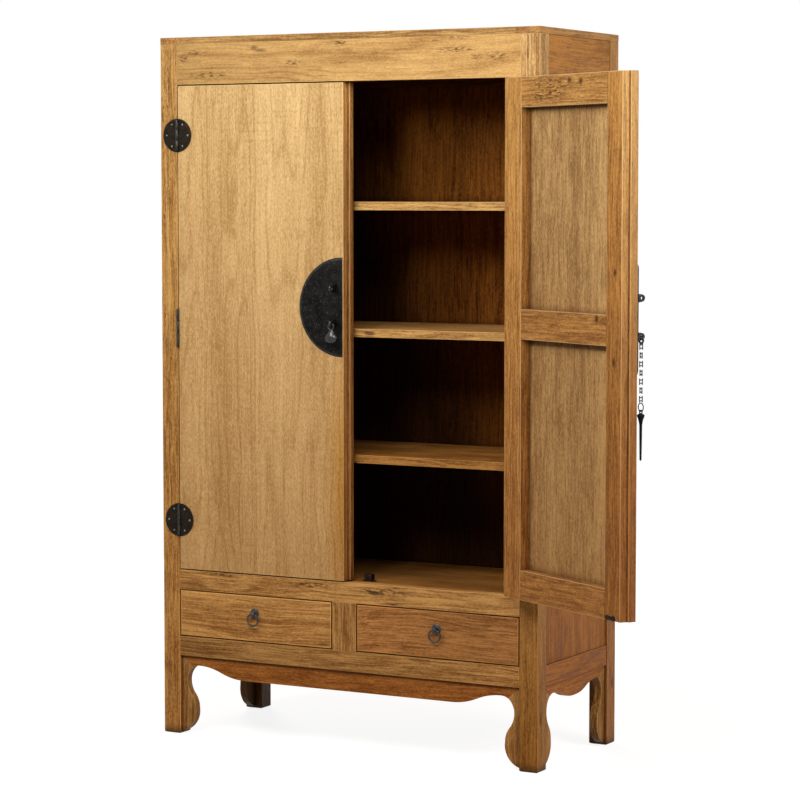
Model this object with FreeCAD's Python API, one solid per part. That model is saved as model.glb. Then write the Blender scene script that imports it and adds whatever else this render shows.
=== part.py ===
import FreeCAD, Part
import math
import os
from FreeCAD import Vector

# Two-door wedding cabinet, millimetres.
# The origin is on the floor at the middle of the footprint. +X is right, +Z is up, the front faces -Y.

# Overall size
HEIGHT = 1900.0
WIDTH = 1145.0
DEPTH = 470.0

# Posts and top
POST_WIDTH = 53.0
POST_DEPTH = 50.0
FOOT_CHAMFER = 4.0
TOP_THICKNESS = 18.0
TOP_END_WIDTH = 69.0
TOP_TONGUE = 12.0
TOP_TONGUE_THICKNESS = 6.0

# Front frame, from the floor upwards
LEG_HEIGHT = 218.0
LOWER_RAIL_HEIGHT = 54.0
DRAWER_OPENING_HEIGHT = 129.0
MIDDLE_RAIL_HEIGHT = 54.0
TOP_RAIL_HEIGHT = 109.0
RAIL_DEPTH = 30.0
DIVIDER_WIDTH = 74.0

# Sides and back: rails and panels between the posts
SIDE_RAIL_THICKNESS = 24.0
SIDE_RAIL_RECESS = 2.0
PANEL_THICKNESS = 14.0
PANEL_RECESS = 6.0
PANEL_TONGUE = 10.0

# Joinery
TENON_LENGTH = 25.0
TENON_THICKNESS = 12.0
TENON_SHOULDER = 10.0
JOINT_CLEARANCE = 0.2

# Apron and leg brackets
APRON_RECESS = 8.0
APRON_THICKNESS = 22.0
ARCH_REACH = 54.5
ARCH_DROP = 26.0
BRACKET_WAIST = 18.5
BRACKET_WAIST_HEIGHT = 148.0
BRACKET_BULGE = 45.0
BRACKET_BULGE_HEIGHT = 73.0
BRACKET_TOE_HEIGHT = 7.0
MITRE_ANGLE = 60.0
FRONT_APRON_DEPTH = 56.0
FRONT_APRON_SWEEP_SHARE = 0.312
SIDE_APRON_DEPTH = 51.0
SIDE_APRON_SWEEP_SHARE = 0.935

# Shelves and floor
SHELF_THICKNESS = 22.0
SHELF_PITCH = 334.5
SHELF_SETBACK = 55.0
FLOOR_THICKNESS = 18.0
FLOOR_TONGUE = 8.0
FLOOR_TONGUE_THICKNESS = 6.0
BEARER_SIZE = 25.0
FITTING_GAP = 0.5

# Doors
DOOR_SIDE_GAP = 2.0
DOOR_END_GAP = 3.0
DOOR_MEETING_GAP = 2.0
DOOR_BOARD_THICKNESS = 14.0
DOOR_FRAME_THICKNESS = 28.0
HINGE_STILE_WIDTH = 76.0
MEETING_STILE_WIDTH = 63.0
DOOR_RAIL_HEIGHT = 76.0
DOOR_MIDDLE_RAIL_CENTRE = 1154.0
REBATE_DEPTH = 22.0
REBATE_OVERLAP = 7.0
REBATE_GAP = 0.5
DOOR_REST_ANGLE = 150.0

# Hinges
HINGE_AXIS_PROUD = 4.0
HINGE_PLATE_RADIUS = 45.0
HINGE_PLATE_THICKNESS = 2.0
HINGE_BARREL_RADIUS = 3.8
HINGE_BARREL_SIDES = 12
HINGE_BARREL_LENGTH = 84.0
HINGE_PIN_RADIUS = 1.8
HINGE_PIN_CLEARANCE = 0.05
KNUCKLE_GAP = 0.4
UPPER_HINGE_INSET = 136.0
LOWER_HINGE_INSET = 137.0
BUTT_HINGE_CENTRE = 1116.0
BUTT_HINGE_LENGTH = 104.0
BUTT_LEAF_THICKNESS = 0.9
BUTT_LEAF_DEPTH = 30.0
NAIL_HEAD_RADIUS = 2.8
NAIL_HEAD_HEIGHT = 1.4
NAIL_CROWN_RADIUS = 1.4
NAIL_HEAD_SIDES = 6
NAIL_SHANK_WIDTH = 2.2
NAIL_LENGTH = 14.0
NAIL_CIRCLE_RADIUS = 33.5
NAIL_ANGLE = 60.0
NAIL_CLEARANCE = 0.1

# Lock plates, lugs, drop pull
LOCK_CENTRE = 1182.0
LOCK_RADIUS = 131.0
LOCK_THICKNESS = 3.5
LOCK_BEVEL_WIDTH = 7.0
LOCK_EDGE_THICKNESS = 1.2
LEFT_LOCK_INSET = 3.0
RIGHT_LOCK_INSET = 0.5
LUG_INSET = 22.0
LUG_THICKNESS = 6.0
LUG_BASE_HEIGHT = 25.0
LUG_TIP_RADIUS = 9.0
LUG_REACH = 23.5
LUG_TIP_STEPS = 6
LUG_EYE_RADIUS = 4.0
LUG_SHANK_WIDTH = 5.0
LUG_SHANK_LENGTH = 30.0
UPPER_LUG_RISE = 50.0
LOWER_LUG_DROP = 42.0
RING_WIRE_RADIUS = 2.5
RING_RADIUS = 8.0
PEAR_WIDTH = 36.0
PEAR_HEIGHT = 36.0
PEAR_FLATNESS = 0.42
PEAR_SIDES = 12
PEAR_OUTLINE = ((0.22, 0), (0.3, 0.1), (0.55, 0.29), (0.86, 0.47), (1.0, 0.66), (0.93, 0.81), (0.68, 0.94), (0.3, 1))
RING_SIDES = 6
RING_STEPS = 14

# Chain and lock pin
CHAIN_LINKS = 7
LINK_WIRE_RADIUS = 1.3
LINK_INNER_LENGTH = 21.3
LINK_INNER_WIDTH = 5.8
LINK_GAP = 0.3
LINK_SIDES = 6
LINK_BEND_STEPS = 4
END_RING_WIRE_RADIUS = 1.5
END_RING_RADIUS = 10.5
PIN_EYE_WIRE_RADIUS = 1.5
PIN_EYE_RADIUS = 4.0
PIN_HEAD_RADIUS = 9.5
PIN_HEAD_HEIGHT = 28.0
PIN_CROWN_HEIGHT = 5.0
PIN_NECK_RADIUS = 4.0
PIN_SHANK_RADIUS = 3.6
PIN_TIP_RADIUS = 2.6
PIN_POINT_RADIUS = 1.2
PIN_SHANK_LENGTH = 85.0
PIN_SIDES = 12

# Catch for the right door
CATCH_BASE_WIDTH = 42.0
CATCH_BASE_THICKNESS = 2.5
CATCH_BODY_WIDTH = 23.0
CATCH_BODY_HEIGHT = 19.0
CATCH_DEPTH = 16.0
CATCH_CORNER = 7.0
CATCH_SIDE_SHIFT = 7.5
POLE_THICKNESS = 1.5
POLE_PROUD = 1.0
POLE_SPACING = 11.0
CATCH_GAP = 0.5
STRIKE_HEIGHT = 13.0
STRIKE_WAIST = 8.0
STRIKE_THICKNESS = 1.5
STRIKE_END_STEPS = 4

# Drawers
DRAWER_FRONT_THICKNESS = 20.0
DRAWER_GAP = 2.5
DRAWER_SIDE_GAP = 2.5
DRAWER_LIFT = 0.3
DRAWER_WALL = 12.0
DRAWER_WALL_HEIGHT = 105.0
DRAWER_LENGTH = 400.0
DRAWER_BOTTOM_THICKNESS = 8.0
DRAWER_BOTTOM_RISE = 12.0
DRAWER_GROOVE = 6.0
RUNNER_THICKNESS = 18.0
RUNNER_WIDTH = 44.0
GUIDE_HEIGHT = 28.0

# Drawer pulls
ROSETTE_RADIUS = 13.0
ROSETTE_THICKNESS = 3.0
ROSETTE_EDGE_THICKNESS = 1.2
ROSETTE_CROWN_RADIUS = 8.0
PULL_DROP = 50.0
PULL_NECK_RADIUS = 3.5
PULL_REACH = 11.0
PULL_BALL_RADIUS = 7.0
PULL_BALL_LATITUDES = (-60, -30, 0, 30, 60, 80)
PULL_EYE_RADIUS = 3.5
PULL_SHANK_WIDTH = 4.0
PULL_SHANK_LENGTH = 15.0
PULL_SIDES = 12
PULL_RING_RADIUS = 16.5
PULL_RING_WIRE_RADIUS = 2.0
PULL_RING_STEPS = 24

# Levels and planes worked out from the sizes above
FRONT = -DEPTH / 2
BACK = DEPTH / 2
SIDE = WIDTH / 2
POST_INNER_X = SIDE - POST_WIDTH
POST_INNER_Y = BACK - POST_DEPTH
CARCASS_TOP = HEIGHT - TOP_THICKNESS
DRAWER_FLOOR = LEG_HEIGHT + LOWER_RAIL_HEIGHT
DRAWER_CEILING = DRAWER_FLOOR + DRAWER_OPENING_HEIGHT
FLOOR_LEVEL = DRAWER_CEILING + MIDDLE_RAIL_HEIGHT
OPENING_TOP = CARCASS_TOP - TOP_RAIL_HEIGHT
PANEL_INNER_X = SIDE - PANEL_RECESS - PANEL_THICKNESS
BACK_PANEL_INNER_Y = BACK - PANEL_RECESS - PANEL_THICKNESS
DOOR_THICKNESS = DOOR_BOARD_THICKNESS + DOOR_FRAME_THICKNESS
DOOR_BOTTOM = FLOOR_LEVEL + DOOR_END_GAP
DOOR_TOP = OPENING_TOP - DOOR_END_GAP
DOOR_EDGE_X = POST_INNER_X - DOOR_SIDE_GAP
HINGE_X = POST_INNER_X - DOOR_SIDE_GAP / 2
HINGE_Y = FRONT - HINGE_AXIS_PROUD
UPPER_HINGE_CENTRE = OPENING_TOP - UPPER_HINGE_INSET
LOWER_HINGE_CENTRE = FLOOR_LEVEL + LOWER_HINGE_INSET
LUG_EYE_Y = FRONT - LOCK_THICKNESS - LUG_REACH
UPPER_LUG_Z = LOCK_CENTRE + UPPER_LUG_RISE
LOWER_LUG_Z = LOCK_CENTRE - LOWER_LUG_DROP

os.makedirs("parts", exist_ok=True)


# Small helpers

def box(x0, x1, y0, y1, z0, z1):
    return Part.makeBox(x1 - x0, y1 - y0, z1 - z0, Vector(x0, y0, z0))


def mirror_x(shape):
    return shape.mirror(Vector(0, 0, 0), Vector(1, 0, 0))


def mirror_y(shape):
    return shape.mirror(Vector(0, 0, 0), Vector(0, 1, 0))


def both_sides(shape):
    return [shape, mirror_x(shape)]


def rod(radius, length, start, direction):
    return Part.makeCylinder(radius, length, Vector(*start), Vector(*direction))


def prism(points, direction):
    corners = [Vector(*p) for p in points]
    return Part.Face(Part.makePolygon(corners + corners[:1])).extrude(Vector(*direction))


def faceted(sections, closed):
    """A solid skinned with flat faces through sections of equal point count, closed on itself or capped."""
    faces = []
    count = len(sections[0])
    pairs = list(zip(sections, sections[1:] + sections[:1]))
    for here, there in pairs if closed else pairs[:-1]:
        for i in range(count):
            j = (i + 1) % count
            corners = [here[i], here[j], there[j], there[i]]
            faces.append(Part.Face(Part.makePolygon(corners + corners[:1])))
    if not closed:
        for cap in (sections[0], sections[-1]):
            faces.append(Part.Face(Part.makePolygon(cap + cap[:1])))
    solid = Part.Solid(Part.Shell(faces))
    if solid.Volume < 0:
        solid.reverse()
    return solid


def polygon_round(centre, along, across, radius, sides):
    """Corners of a regular polygon about centre, in the plane of the two unit directions."""
    corners = []
    for i in range(sides):
        turn = 2 * math.pi * i / sides
        corners.append(centre + along * (radius * math.cos(turn)) + across * (radius * math.sin(turn)))
    return corners


def turned(profile, base, axis, sides):
    """A turned piece with flat sides, from (radius, distance along the axis) points."""
    axis = Vector(*axis)
    along = Vector(0, 0, 1) if abs(axis.z) < 0.5 else Vector(1, 0, 0)
    across = axis.cross(along)
    base = Vector(*base)
    return faceted([polygon_round(base + axis * reach, along, across, r, sides) for r, reach in profile], False)


def ring(radius, wire_radius, centre, normal, steps):
    """A ring of flat-sided wire."""
    normal = Vector(*normal)
    along = Vector(0, 0, 1)
    across = normal.cross(along)
    centre = Vector(*centre)
    sections = []
    for i in range(steps):
        turn = 2 * math.pi * i / steps
        outward = along * math.cos(turn) + across * math.sin(turn)
        sections.append(polygon_round(centre + outward * radius, outward, normal, wire_radius, RING_SIDES))
    return faceted(sections, True)


def arc_points(centre, radius, start, end, steps):
    """Points of an arc in a plane, from one angle to another."""
    points = []
    for i in range(steps + 1):
        turn = math.radians(start + (end - start) * i / steps)
        points.append((centre[0] + radius * math.cos(turn), centre[1] + radius * math.sin(turn)))
    return points


def square_bar(width, length, x, y, z):
    """A square bar along +Y from the given point."""
    half = width / 2
    return box(x - half, x + half, y, y + length, z - half, z + half)


def opened(shape):
    """The right door's pieces are made closed, and stand open at rest."""
    swung = shape.copy()
    swung.rotate(Vector(HINGE_X, HINGE_Y, 0), Vector(0, 0, 1), DOOR_REST_ANGLE)
    return swung


def save(name, shapes):
    solids = [solid for shape in shapes for solid in shape.Solids]
    piece = solids[0] if len(solids) == 1 else Part.makeCompound(solids)
    piece.exportStep("parts/" + name + ".step")


def cut_all(shape, tools):
    return shape.cut(tools) if tools else shape


# Rails with stub tenons. Each rail leaves the same tenon, grown by the clearance, as a mortise for its post.

def tenon_along_x(x0, x1, y_mid, z0, z1, grow):
    half = TENON_THICKNESS / 2 + grow
    return box(x0, x1, y_mid - half, y_mid + half, z0 + TENON_SHOULDER - grow, z1 - TENON_SHOULDER + grow)


def tenon_along_y(y0, y1, x_mid, z0, z1, grow):
    half = TENON_THICKNESS / 2 + grow
    return box(x_mid - half, x_mid + half, y0, y1, z0 + TENON_SHOULDER - grow, z1 - TENON_SHOULDER + grow)


def rail_along_x(y0, y1, z0, z1):
    reach = POST_INNER_X + TENON_LENGTH
    body = box(-POST_INNER_X, POST_INNER_X, y0, y1, z0, z1)
    return body.fuse(tenon_along_x(-reach, reach, (y0 + y1) / 2, z0, z1, 0)).removeSplitter()


def mortise_for_x_rail(y0, y1, z0, z1):
    reach = POST_INNER_X + TENON_LENGTH + JOINT_CLEARANCE
    return tenon_along_x(POST_INNER_X, reach, (y0 + y1) / 2, z0, z1, JOINT_CLEARANCE)


SIDE_RAIL_X0 = SIDE - SIDE_RAIL_RECESS - SIDE_RAIL_THICKNESS
SIDE_RAIL_X1 = SIDE - SIDE_RAIL_RECESS


def side_rail(z0, z1):
    reach = POST_INNER_Y + TENON_LENGTH
    body = box(SIDE_RAIL_X0, SIDE_RAIL_X1, -POST_INNER_Y, POST_INNER_Y, z0, z1)
    tenon = tenon_along_y(-reach, reach, (SIDE_RAIL_X0 + SIDE_RAIL_X1) / 2, z0, z1, 0)
    return body.fuse(tenon).removeSplitter()


def side_mortise(z0, z1):
    reach = POST_INNER_Y + TENON_LENGTH + JOINT_CLEARANCE
    middle = (SIDE_RAIL_X0 + SIDE_RAIL_X1) / 2
    return tenon_along_y(-reach, reach, middle, z0, z1, JOINT_CLEARANCE)


LOWER_BAND = (LEG_HEIGHT, DRAWER_FLOOR)
MIDDLE_BAND = (DRAWER_CEILING, FLOOR_LEVEL)
TOP_BAND = (OPENING_TOP, CARCASS_TOP)
FRONT_RAIL_Y = (FRONT, FRONT + RAIL_DEPTH)
BACK_RAIL_Y = (BACK - SIDE_RAIL_RECESS - SIDE_RAIL_THICKNESS, BACK - SIDE_RAIL_RECESS)

# Panels held in grooves of the posts and rails
PANEL_Z0 = DRAWER_FLOOR - PANEL_TONGUE
PANEL_Z1 = OPENING_TOP + PANEL_TONGUE


def side_panel(grow):
    reach = POST_INNER_Y + PANEL_TONGUE + grow
    return box(PANEL_INNER_X - grow, PANEL_INNER_X + PANEL_THICKNESS + grow, -reach, reach,
               PANEL_Z0 - grow, PANEL_Z1 + grow)


def back_panel(grow):
    reach = POST_INNER_X + PANEL_TONGUE + grow
    return box(-reach, reach, BACK_PANEL_INNER_Y - grow, BACK_PANEL_INNER_Y + PANEL_THICKNESS + grow,
               PANEL_Z0 - grow, PANEL_Z1 + grow)


# Hinges: a round plate split down the middle, and a plain butt hinge between them.
# They are made for the right-hand side, with the door closed, and mirrored for the left.

def knuckle_spans(centre, length):
    """Three knuckles on one pin: the outer two belong to the post, the middle one to the door."""
    third = length / 3
    low = centre - length / 2
    half_gap = KNUCKLE_GAP / 2
    lower = (low, low + third - half_gap)
    middle = (low + third + half_gap, low + 2 * third - half_gap)
    upper = (low + 2 * third + half_gap, low + length)
    return [lower, upper], [middle]


def on_hinge_axis(radius, span):
    return rod(radius, span[1] - span[0], (HINGE_X, HINGE_Y, span[0]), (0, 0, 1))


def barrel(span):
    low, high = span
    profile = [(HINGE_BARREL_RADIUS, low), (HINGE_BARREL_RADIUS, high)]
    return turned(profile, (HINGE_X, HINGE_Y, 0), (0, 0, 1), HINGE_BARREL_SIDES)


def with_knuckles(leaf, side, centre, length):
    """Knuckles on a leaf. The post's leaf (+1) holds the pin, riveted in its knuckles; the door's (-1) is bored."""
    post_spans, door_spans = knuckle_spans(centre, length)
    own, other = (post_spans, door_spans) if side > 0 else (door_spans, post_spans)
    clear = [on_hinge_axis(HINGE_BARREL_RADIUS + KNUCKLE_GAP, (low - KNUCKLE_GAP, high + KNUCKLE_GAP))
             for low, high in other]
    leaf = leaf.cut(clear).fuse([barrel(span) for span in own])
    pin_span = (centre - length / 2, centre + length / 2)
    if side > 0:
        leaf = leaf.fuse(on_hinge_axis(HINGE_PIN_RADIUS, pin_span))
    else:
        leaf = leaf.cut(on_hinge_axis(HINGE_PIN_RADIUS + HINGE_PIN_CLEARANCE, pin_span))
    return leaf.removeSplitter()


def nail_places(centre, side):
    """Three nails on each half of a round hinge; side is +1 on the post and -1 on the door."""
    places = []
    for angle in (-NAIL_ANGLE, 0, NAIL_ANGLE):
        turn = math.radians(angle)
        across = side * NAIL_CIRCLE_RADIUS * math.cos(turn)
        places.append((HINGE_X + across, centre + NAIL_CIRCLE_RADIUS * math.sin(turn)))
    return places


def nail(x, z):
    """A forged nail: faceted head on the plate, square shank into the wood."""
    seat = FRONT - HINGE_PLATE_THICKNESS
    profile = [(NAIL_HEAD_RADIUS, 0), (NAIL_CROWN_RADIUS, NAIL_HEAD_HEIGHT)]
    head = turned(profile, (x, seat, z), (0, -1, 0), NAIL_HEAD_SIDES)
    return head.fuse(square_bar(NAIL_SHANK_WIDTH, NAIL_LENGTH, x, seat, z)).removeSplitter()


def nail_hole(x, z):
    width = NAIL_SHANK_WIDTH + 2 * NAIL_CLEARANCE
    return square_bar(width, NAIL_LENGTH + NAIL_CLEARANCE, x, FRONT - HINGE_PLATE_THICKNESS, z)


def round_leaf(centre, side):
    disc = rod(HINGE_PLATE_RADIUS, HINGE_PLATE_THICKNESS, (HINGE_X, FRONT, centre), (0, -1, 0))
    edge = HINGE_X if side > 0 else HINGE_X - HINGE_PLATE_RADIUS
    half_gap = side * KNUCKLE_GAP / 2
    half = box(edge + half_gap, edge + half_gap + HINGE_PLATE_RADIUS, FRONT - HINGE_PLATE_THICKNESS, FRONT,
               centre - HINGE_PLATE_RADIUS, centre + HINGE_PLATE_RADIUS)
    leaf = with_knuckles(disc.common(half), side, centre, HINGE_BARREL_LENGTH)
    return leaf.cut([nail_hole(x, z) for x, z in nail_places(centre, side)])


def butt_leaf(side):
    outer = HINGE_X + side * DOOR_SIDE_GAP / 2
    inner = outer - side * BUTT_LEAF_THICKNESS
    low = BUTT_HINGE_CENTRE - BUTT_HINGE_LENGTH / 2
    leaf = box(min(inner, outer), max(inner, outer), HINGE_Y, HINGE_Y + BUTT_LEAF_DEPTH,
               low, low + BUTT_HINGE_LENGTH)
    return with_knuckles(leaf, side, BUTT_HINGE_CENTRE, BUTT_HINGE_LENGTH)


ROUND_HINGE_CENTRES = (LOWER_HINGE_CENTRE, UPPER_HINGE_CENTRE)
POST_LEAVES = [round_leaf(z, 1) for z in ROUND_HINGE_CENTRES] + [butt_leaf(1)]
DOOR_LEAVES = [round_leaf(z, -1) for z in ROUND_HINGE_CENTRES] + [butt_leaf(-1)]
POST_NAIL_PLACES = [place for z in ROUND_HINGE_CENTRES for place in nail_places(z, 1)]
DOOR_NAIL_PLACES = [place for z in ROUND_HINGE_CENTRES for place in nail_places(z, -1)]


# Carcass

def post(front):
    y0 = FRONT if front else POST_INNER_Y
    body = box(POST_INNER_X, SIDE, y0, y0 + POST_DEPTH, 0, CARCASS_TOP)
    feet = [edge for edge in body.Edges if edge.BoundBox.ZMax < FOOT_CHAMFER]
    body = body.makeChamfer(FOOT_CHAMFER, feet)
    bands = (LOWER_BAND, MIDDLE_BAND, TOP_BAND) if front else (LOWER_BAND, TOP_BAND)
    rail_y = FRONT_RAIL_Y if front else BACK_RAIL_Y
    cuts = [mortise_for_x_rail(*rail_y, *band) for band in bands]
    cuts += [side_mortise(*band) for band in (LOWER_BAND, TOP_BAND)]
    cuts.append(side_panel(JOINT_CLEARANCE))
    if front:
        cuts += [nail_hole(x, z) for x, z in POST_NAIL_PLACES]
    else:
        cuts.append(back_panel(JOINT_CLEARANCE))
    return body.cut(cuts)


def floor_tongue(grow):
    y0 = FRONT + RAIL_DEPTH - FLOOR_TONGUE - grow
    z_mid = FLOOR_LEVEL - FLOOR_THICKNESS / 2
    half = FLOOR_TONGUE_THICKNESS / 2 + grow
    return box(-POST_INNER_X, POST_INNER_X, y0, FRONT + RAIL_DEPTH, z_mid - half, z_mid + half)


def divider_tenon(z0, z1, grow):
    half_x = DIVIDER_WIDTH / 2 - TENON_SHOULDER + grow
    half_y = TENON_THICKNESS / 2 + grow
    y_mid = FRONT + RAIL_DEPTH / 2
    return box(-half_x, half_x, y_mid - half_y, y_mid + half_y, z0 - grow, z1 + grow)


DIVIDER_TENON_Z = (DRAWER_FLOOR - TENON_LENGTH, DRAWER_CEILING + TENON_LENGTH)


def drawer_divider():
    half = DIVIDER_WIDTH / 2
    body = box(-half, half, *FRONT_RAIL_Y, DRAWER_FLOOR, DRAWER_CEILING)
    return body.fuse(divider_tenon(*DIVIDER_TENON_Z, 0)).removeSplitter()


def front_rail(band, cuts):
    return cut_all(rail_along_x(*FRONT_RAIL_Y, *band), cuts)


def top_tongue(grow):
    x0 = SIDE - TOP_END_WIDTH
    half = TOP_TONGUE_THICKNESS / 2 + grow
    z_mid = HEIGHT - TOP_THICKNESS / 2
    inset = TOP_TONGUE - grow
    return box(x0, x0 + TOP_TONGUE + grow, FRONT + inset, BACK - inset, z_mid - half, z_mid + half)


def carcass_frame():
    posts = {"front": post(True), "back": post(False)}
    for place, shape in posts.items():
        save(place + "_right_post", [shape])
        save(place + "_left_post", [mirror_x(shape)])

    divider_mortise = divider_tenon(*DIVIDER_TENON_Z, JOINT_CLEARANCE)
    save("front_top_rail", [front_rail(TOP_BAND, [])])
    save("front_middle_rail", [front_rail(MIDDLE_BAND, [divider_mortise, floor_tongue(JOINT_CLEARANCE)])])
    save("front_lower_rail", [front_rail(LOWER_BAND, [divider_mortise])])
    save("drawer_divider", [drawer_divider()])

    groove = side_panel(JOINT_CLEARANCE)
    save("side_top_rails", both_sides(side_rail(*TOP_BAND).cut(groove)))
    save("side_lower_rails", both_sides(side_rail(*LOWER_BAND).cut(groove)))
    save("side_panels", both_sides(side_panel(0)))

    back_groove = back_panel(JOINT_CLEARANCE)
    back_rails = [rail_along_x(*BACK_RAIL_Y, *band).cut(back_groove) for band in (LOWER_BAND, TOP_BAND)]
    save("back_rails", back_rails)
    save("back_panel", [back_panel(0)])


def cabinet_top():
    x0 = SIDE - TOP_END_WIDTH
    panel = box(-x0, x0, FRONT, BACK, CARCASS_TOP, HEIGHT)
    panel = panel.fuse(both_sides(top_tongue(0))).removeSplitter()
    end = box(x0, SIDE, FRONT, BACK, CARCASS_TOP, HEIGHT).cut(top_tongue(JOINT_CLEARANCE))
    save("top_panel", [panel])
    save("top_end_rails", both_sides(end))


# Apron and brackets, drawn in a plane of (reach from the post, height)

def ogee(start, end, upright):
    """Two equal arcs that leave start and reach end with the same direction, level or upright."""
    along, rise = (1, 0) if upright else (0, 1)
    run = end[along] - start[along]
    lift = end[rise] - start[rise]
    radius = (run * run + lift * lift) / (4 * abs(lift))
    sweep = math.asin(abs(run) / 2 / radius)

    def on_arc(origin, sign, share):
        step = radius * math.sin(sweep * share) * math.copysign(1, run) * sign
        shift = radius * (1 - math.cos(sweep * share)) * math.copysign(1, lift) * sign
        return (origin[0] + shift, origin[1] + step) if upright else (origin[0] + step, origin[1] + shift)

    middle = ((start[0] + end[0]) / 2, (start[1] + end[1]) / 2)
    first = (start, on_arc(start, 1, 0.5), middle)
    second = (middle, on_arc(end, -1, 0.5), end)
    return [Part.Arc(*[Vector(u, z, 0) for u, z in arc]).toShape() for arc in (first, second)]


def line(start, end):
    return Part.makeLine(Vector(*start, 0), Vector(*end, 0))


ARCH_TOP = LEG_HEIGHT - ARCH_DROP


def arch_point(angle):
    turn = math.radians(angle)
    reach = ARCH_REACH - (ARCH_REACH - BRACKET_WAIST) * math.cos(turn)
    height = BRACKET_WAIST_HEIGHT + (ARCH_TOP - BRACKET_WAIST_HEIGHT) * math.sin(turn)
    return (reach, height)


def arch(low_angle, high_angle):
    """Part of the arch between a leg bracket (0 degrees) and the apron (90 degrees)."""
    middle = (low_angle + high_angle) / 2
    points = [Vector(*arch_point(angle), 0) for angle in (low_angle, middle, high_angle)]
    return Part.Arc(*points).toShape()


def bracket_face():
    waist = (BRACKET_WAIST, BRACKET_WAIST_HEIGHT)
    bulge = (BRACKET_BULGE, BRACKET_BULGE_HEIGHT)
    toe = (0, BRACKET_TOE_HEIGHT)
    corner = (0, LEG_HEIGHT)
    shoulder = math.radians(45)
    drop = BRACKET_BULGE_HEIGHT - BRACKET_TOE_HEIGHT
    heel = (BRACKET_BULGE * math.cos(shoulder), BRACKET_BULGE_HEIGHT - drop * math.sin(shoulder))
    edges = [line(corner, arch_point(MITRE_ANGLE)), arch(0, MITRE_ANGLE)]
    edges += ogee(waist, bulge, True)
    edges.append(Part.Arc(*[Vector(*p, 0) for p in (bulge, heel, toe)]).toShape())
    edges.append(line(toe, corner))
    return Part.Face(Part.Wire(Part.__sortEdges__(edges)))


def apron_face(span, depth, sweep_share):
    """Apron between two posts that stand span apart. Its sweeps take a share of the way from arch to middle."""
    low = LEG_HEIGHT - depth
    arch_end = (ARCH_REACH, ARCH_TOP)
    flat_start = (ARCH_REACH + sweep_share * (span / 2 - ARCH_REACH), low)
    half = [line((0, LEG_HEIGHT), arch_point(MITRE_ANGLE)), arch(MITRE_ANGLE, 90)]
    half += ogee(arch_end, flat_start, False)
    mirrored = [edge.mirror(Vector(span / 2, 0, 0), Vector(1, 0, 0)) for edge in half]
    edges = half + mirrored + [line((0, LEG_HEIGHT), (span, LEG_HEIGHT))]
    edges.append(line(flat_start, (span - flat_start[0], low)))
    return Part.Face(Part.Wire(Part.__sortEdges__(edges)))


def stand_on_front(face, x0):
    """Set a drawn face upright in the front plane, its reach along +X from x0, and give it thickness."""
    solid = face.extrude(Vector(0, 0, -APRON_THICKNESS))
    solid.rotate(Vector(0, 0, 0), Vector(1, 0, 0), 90)
    solid.translate(Vector(x0, FRONT + APRON_RECESS, 0))
    return solid


def stand_on_side(face, y0):
    """Set a drawn face upright in the right side's plane, its reach along +Y from y0, with its thickness."""
    solid = face.extrude(Vector(0, 0, -APRON_THICKNESS))
    solid.rotate(Vector(0, 0, 0), Vector(1, 0, 0), 90)
    solid.rotate(Vector(0, 0, 0), Vector(0, 0, 1), 90)
    solid.translate(Vector(SIDE - APRON_RECESS, y0, 0))
    return solid


def base_curves():
    front = apron_face(2 * POST_INNER_X, FRONT_APRON_DEPTH, FRONT_APRON_SWEEP_SHARE)
    side = apron_face(2 * POST_INNER_Y, SIDE_APRON_DEPTH, SIDE_APRON_SWEEP_SHARE)
    save("front_apron", [stand_on_front(front, -POST_INNER_X)])
    save("side_aprons", both_sides(stand_on_side(side, -POST_INNER_Y)))
    front_bracket = stand_on_front(bracket_face(), -POST_INNER_X)
    side_bracket = stand_on_side(bracket_face(), -POST_INNER_Y)
    brackets = both_sides(front_bracket)
    brackets += both_sides(side_bracket) + both_sides(mirror_y(side_bracket))
    save("leg_brackets", brackets)


# Floor, shelves and bearers

def clear_of_posts(board):
    gap = FITTING_GAP
    corner = box(POST_INNER_X - gap, SIDE, POST_INNER_Y - gap, BACK, 0, HEIGHT)
    corners = both_sides(corner) + both_sides(mirror_y(corner))
    return board.cut(corners)


def shelf_levels():
    return [FLOOR_LEVEL + SHELF_PITCH * step for step in (1, 2, 3)]


def inside_boards():
    half = PANEL_INNER_X - FITTING_GAP
    back = BACK_PANEL_INNER_Y - FITTING_GAP
    floor = box(-half, half, FRONT + RAIL_DEPTH, back, FLOOR_LEVEL - FLOOR_THICKNESS, FLOOR_LEVEL)
    floor = clear_of_posts(floor).fuse(floor_tongue(0).common(box(-half, half, FRONT, 0, 0, HEIGHT)))
    gap = FITTING_GAP
    tongue_ends = box(POST_INNER_X - gap, SIDE, FRONT, FRONT + RAIL_DEPTH, 0, HEIGHT)
    save("cabinet_floor", [floor.cut(both_sides(tongue_ends)).removeSplitter()])
    for name, level in zip(("lower_shelf", "middle_shelf", "upper_shelf"), shelf_levels()):
        shelf = box(-half, half, FRONT + SHELF_SETBACK, back, level - SHELF_THICKNESS, level)
        save(name, [clear_of_posts(shelf)])
    undersides = [FLOOR_LEVEL - FLOOR_THICKNESS] + [level - SHELF_THICKNESS for level in shelf_levels()]
    bearers = []
    for under in undersides:
        bearer = box(PANEL_INNER_X - BEARER_SIZE, PANEL_INNER_X, -POST_INNER_Y, POST_INNER_Y,
                     under - BEARER_SIZE, under)
        bearers += both_sides(bearer)
    save("shelf_bearers", bearers)


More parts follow.
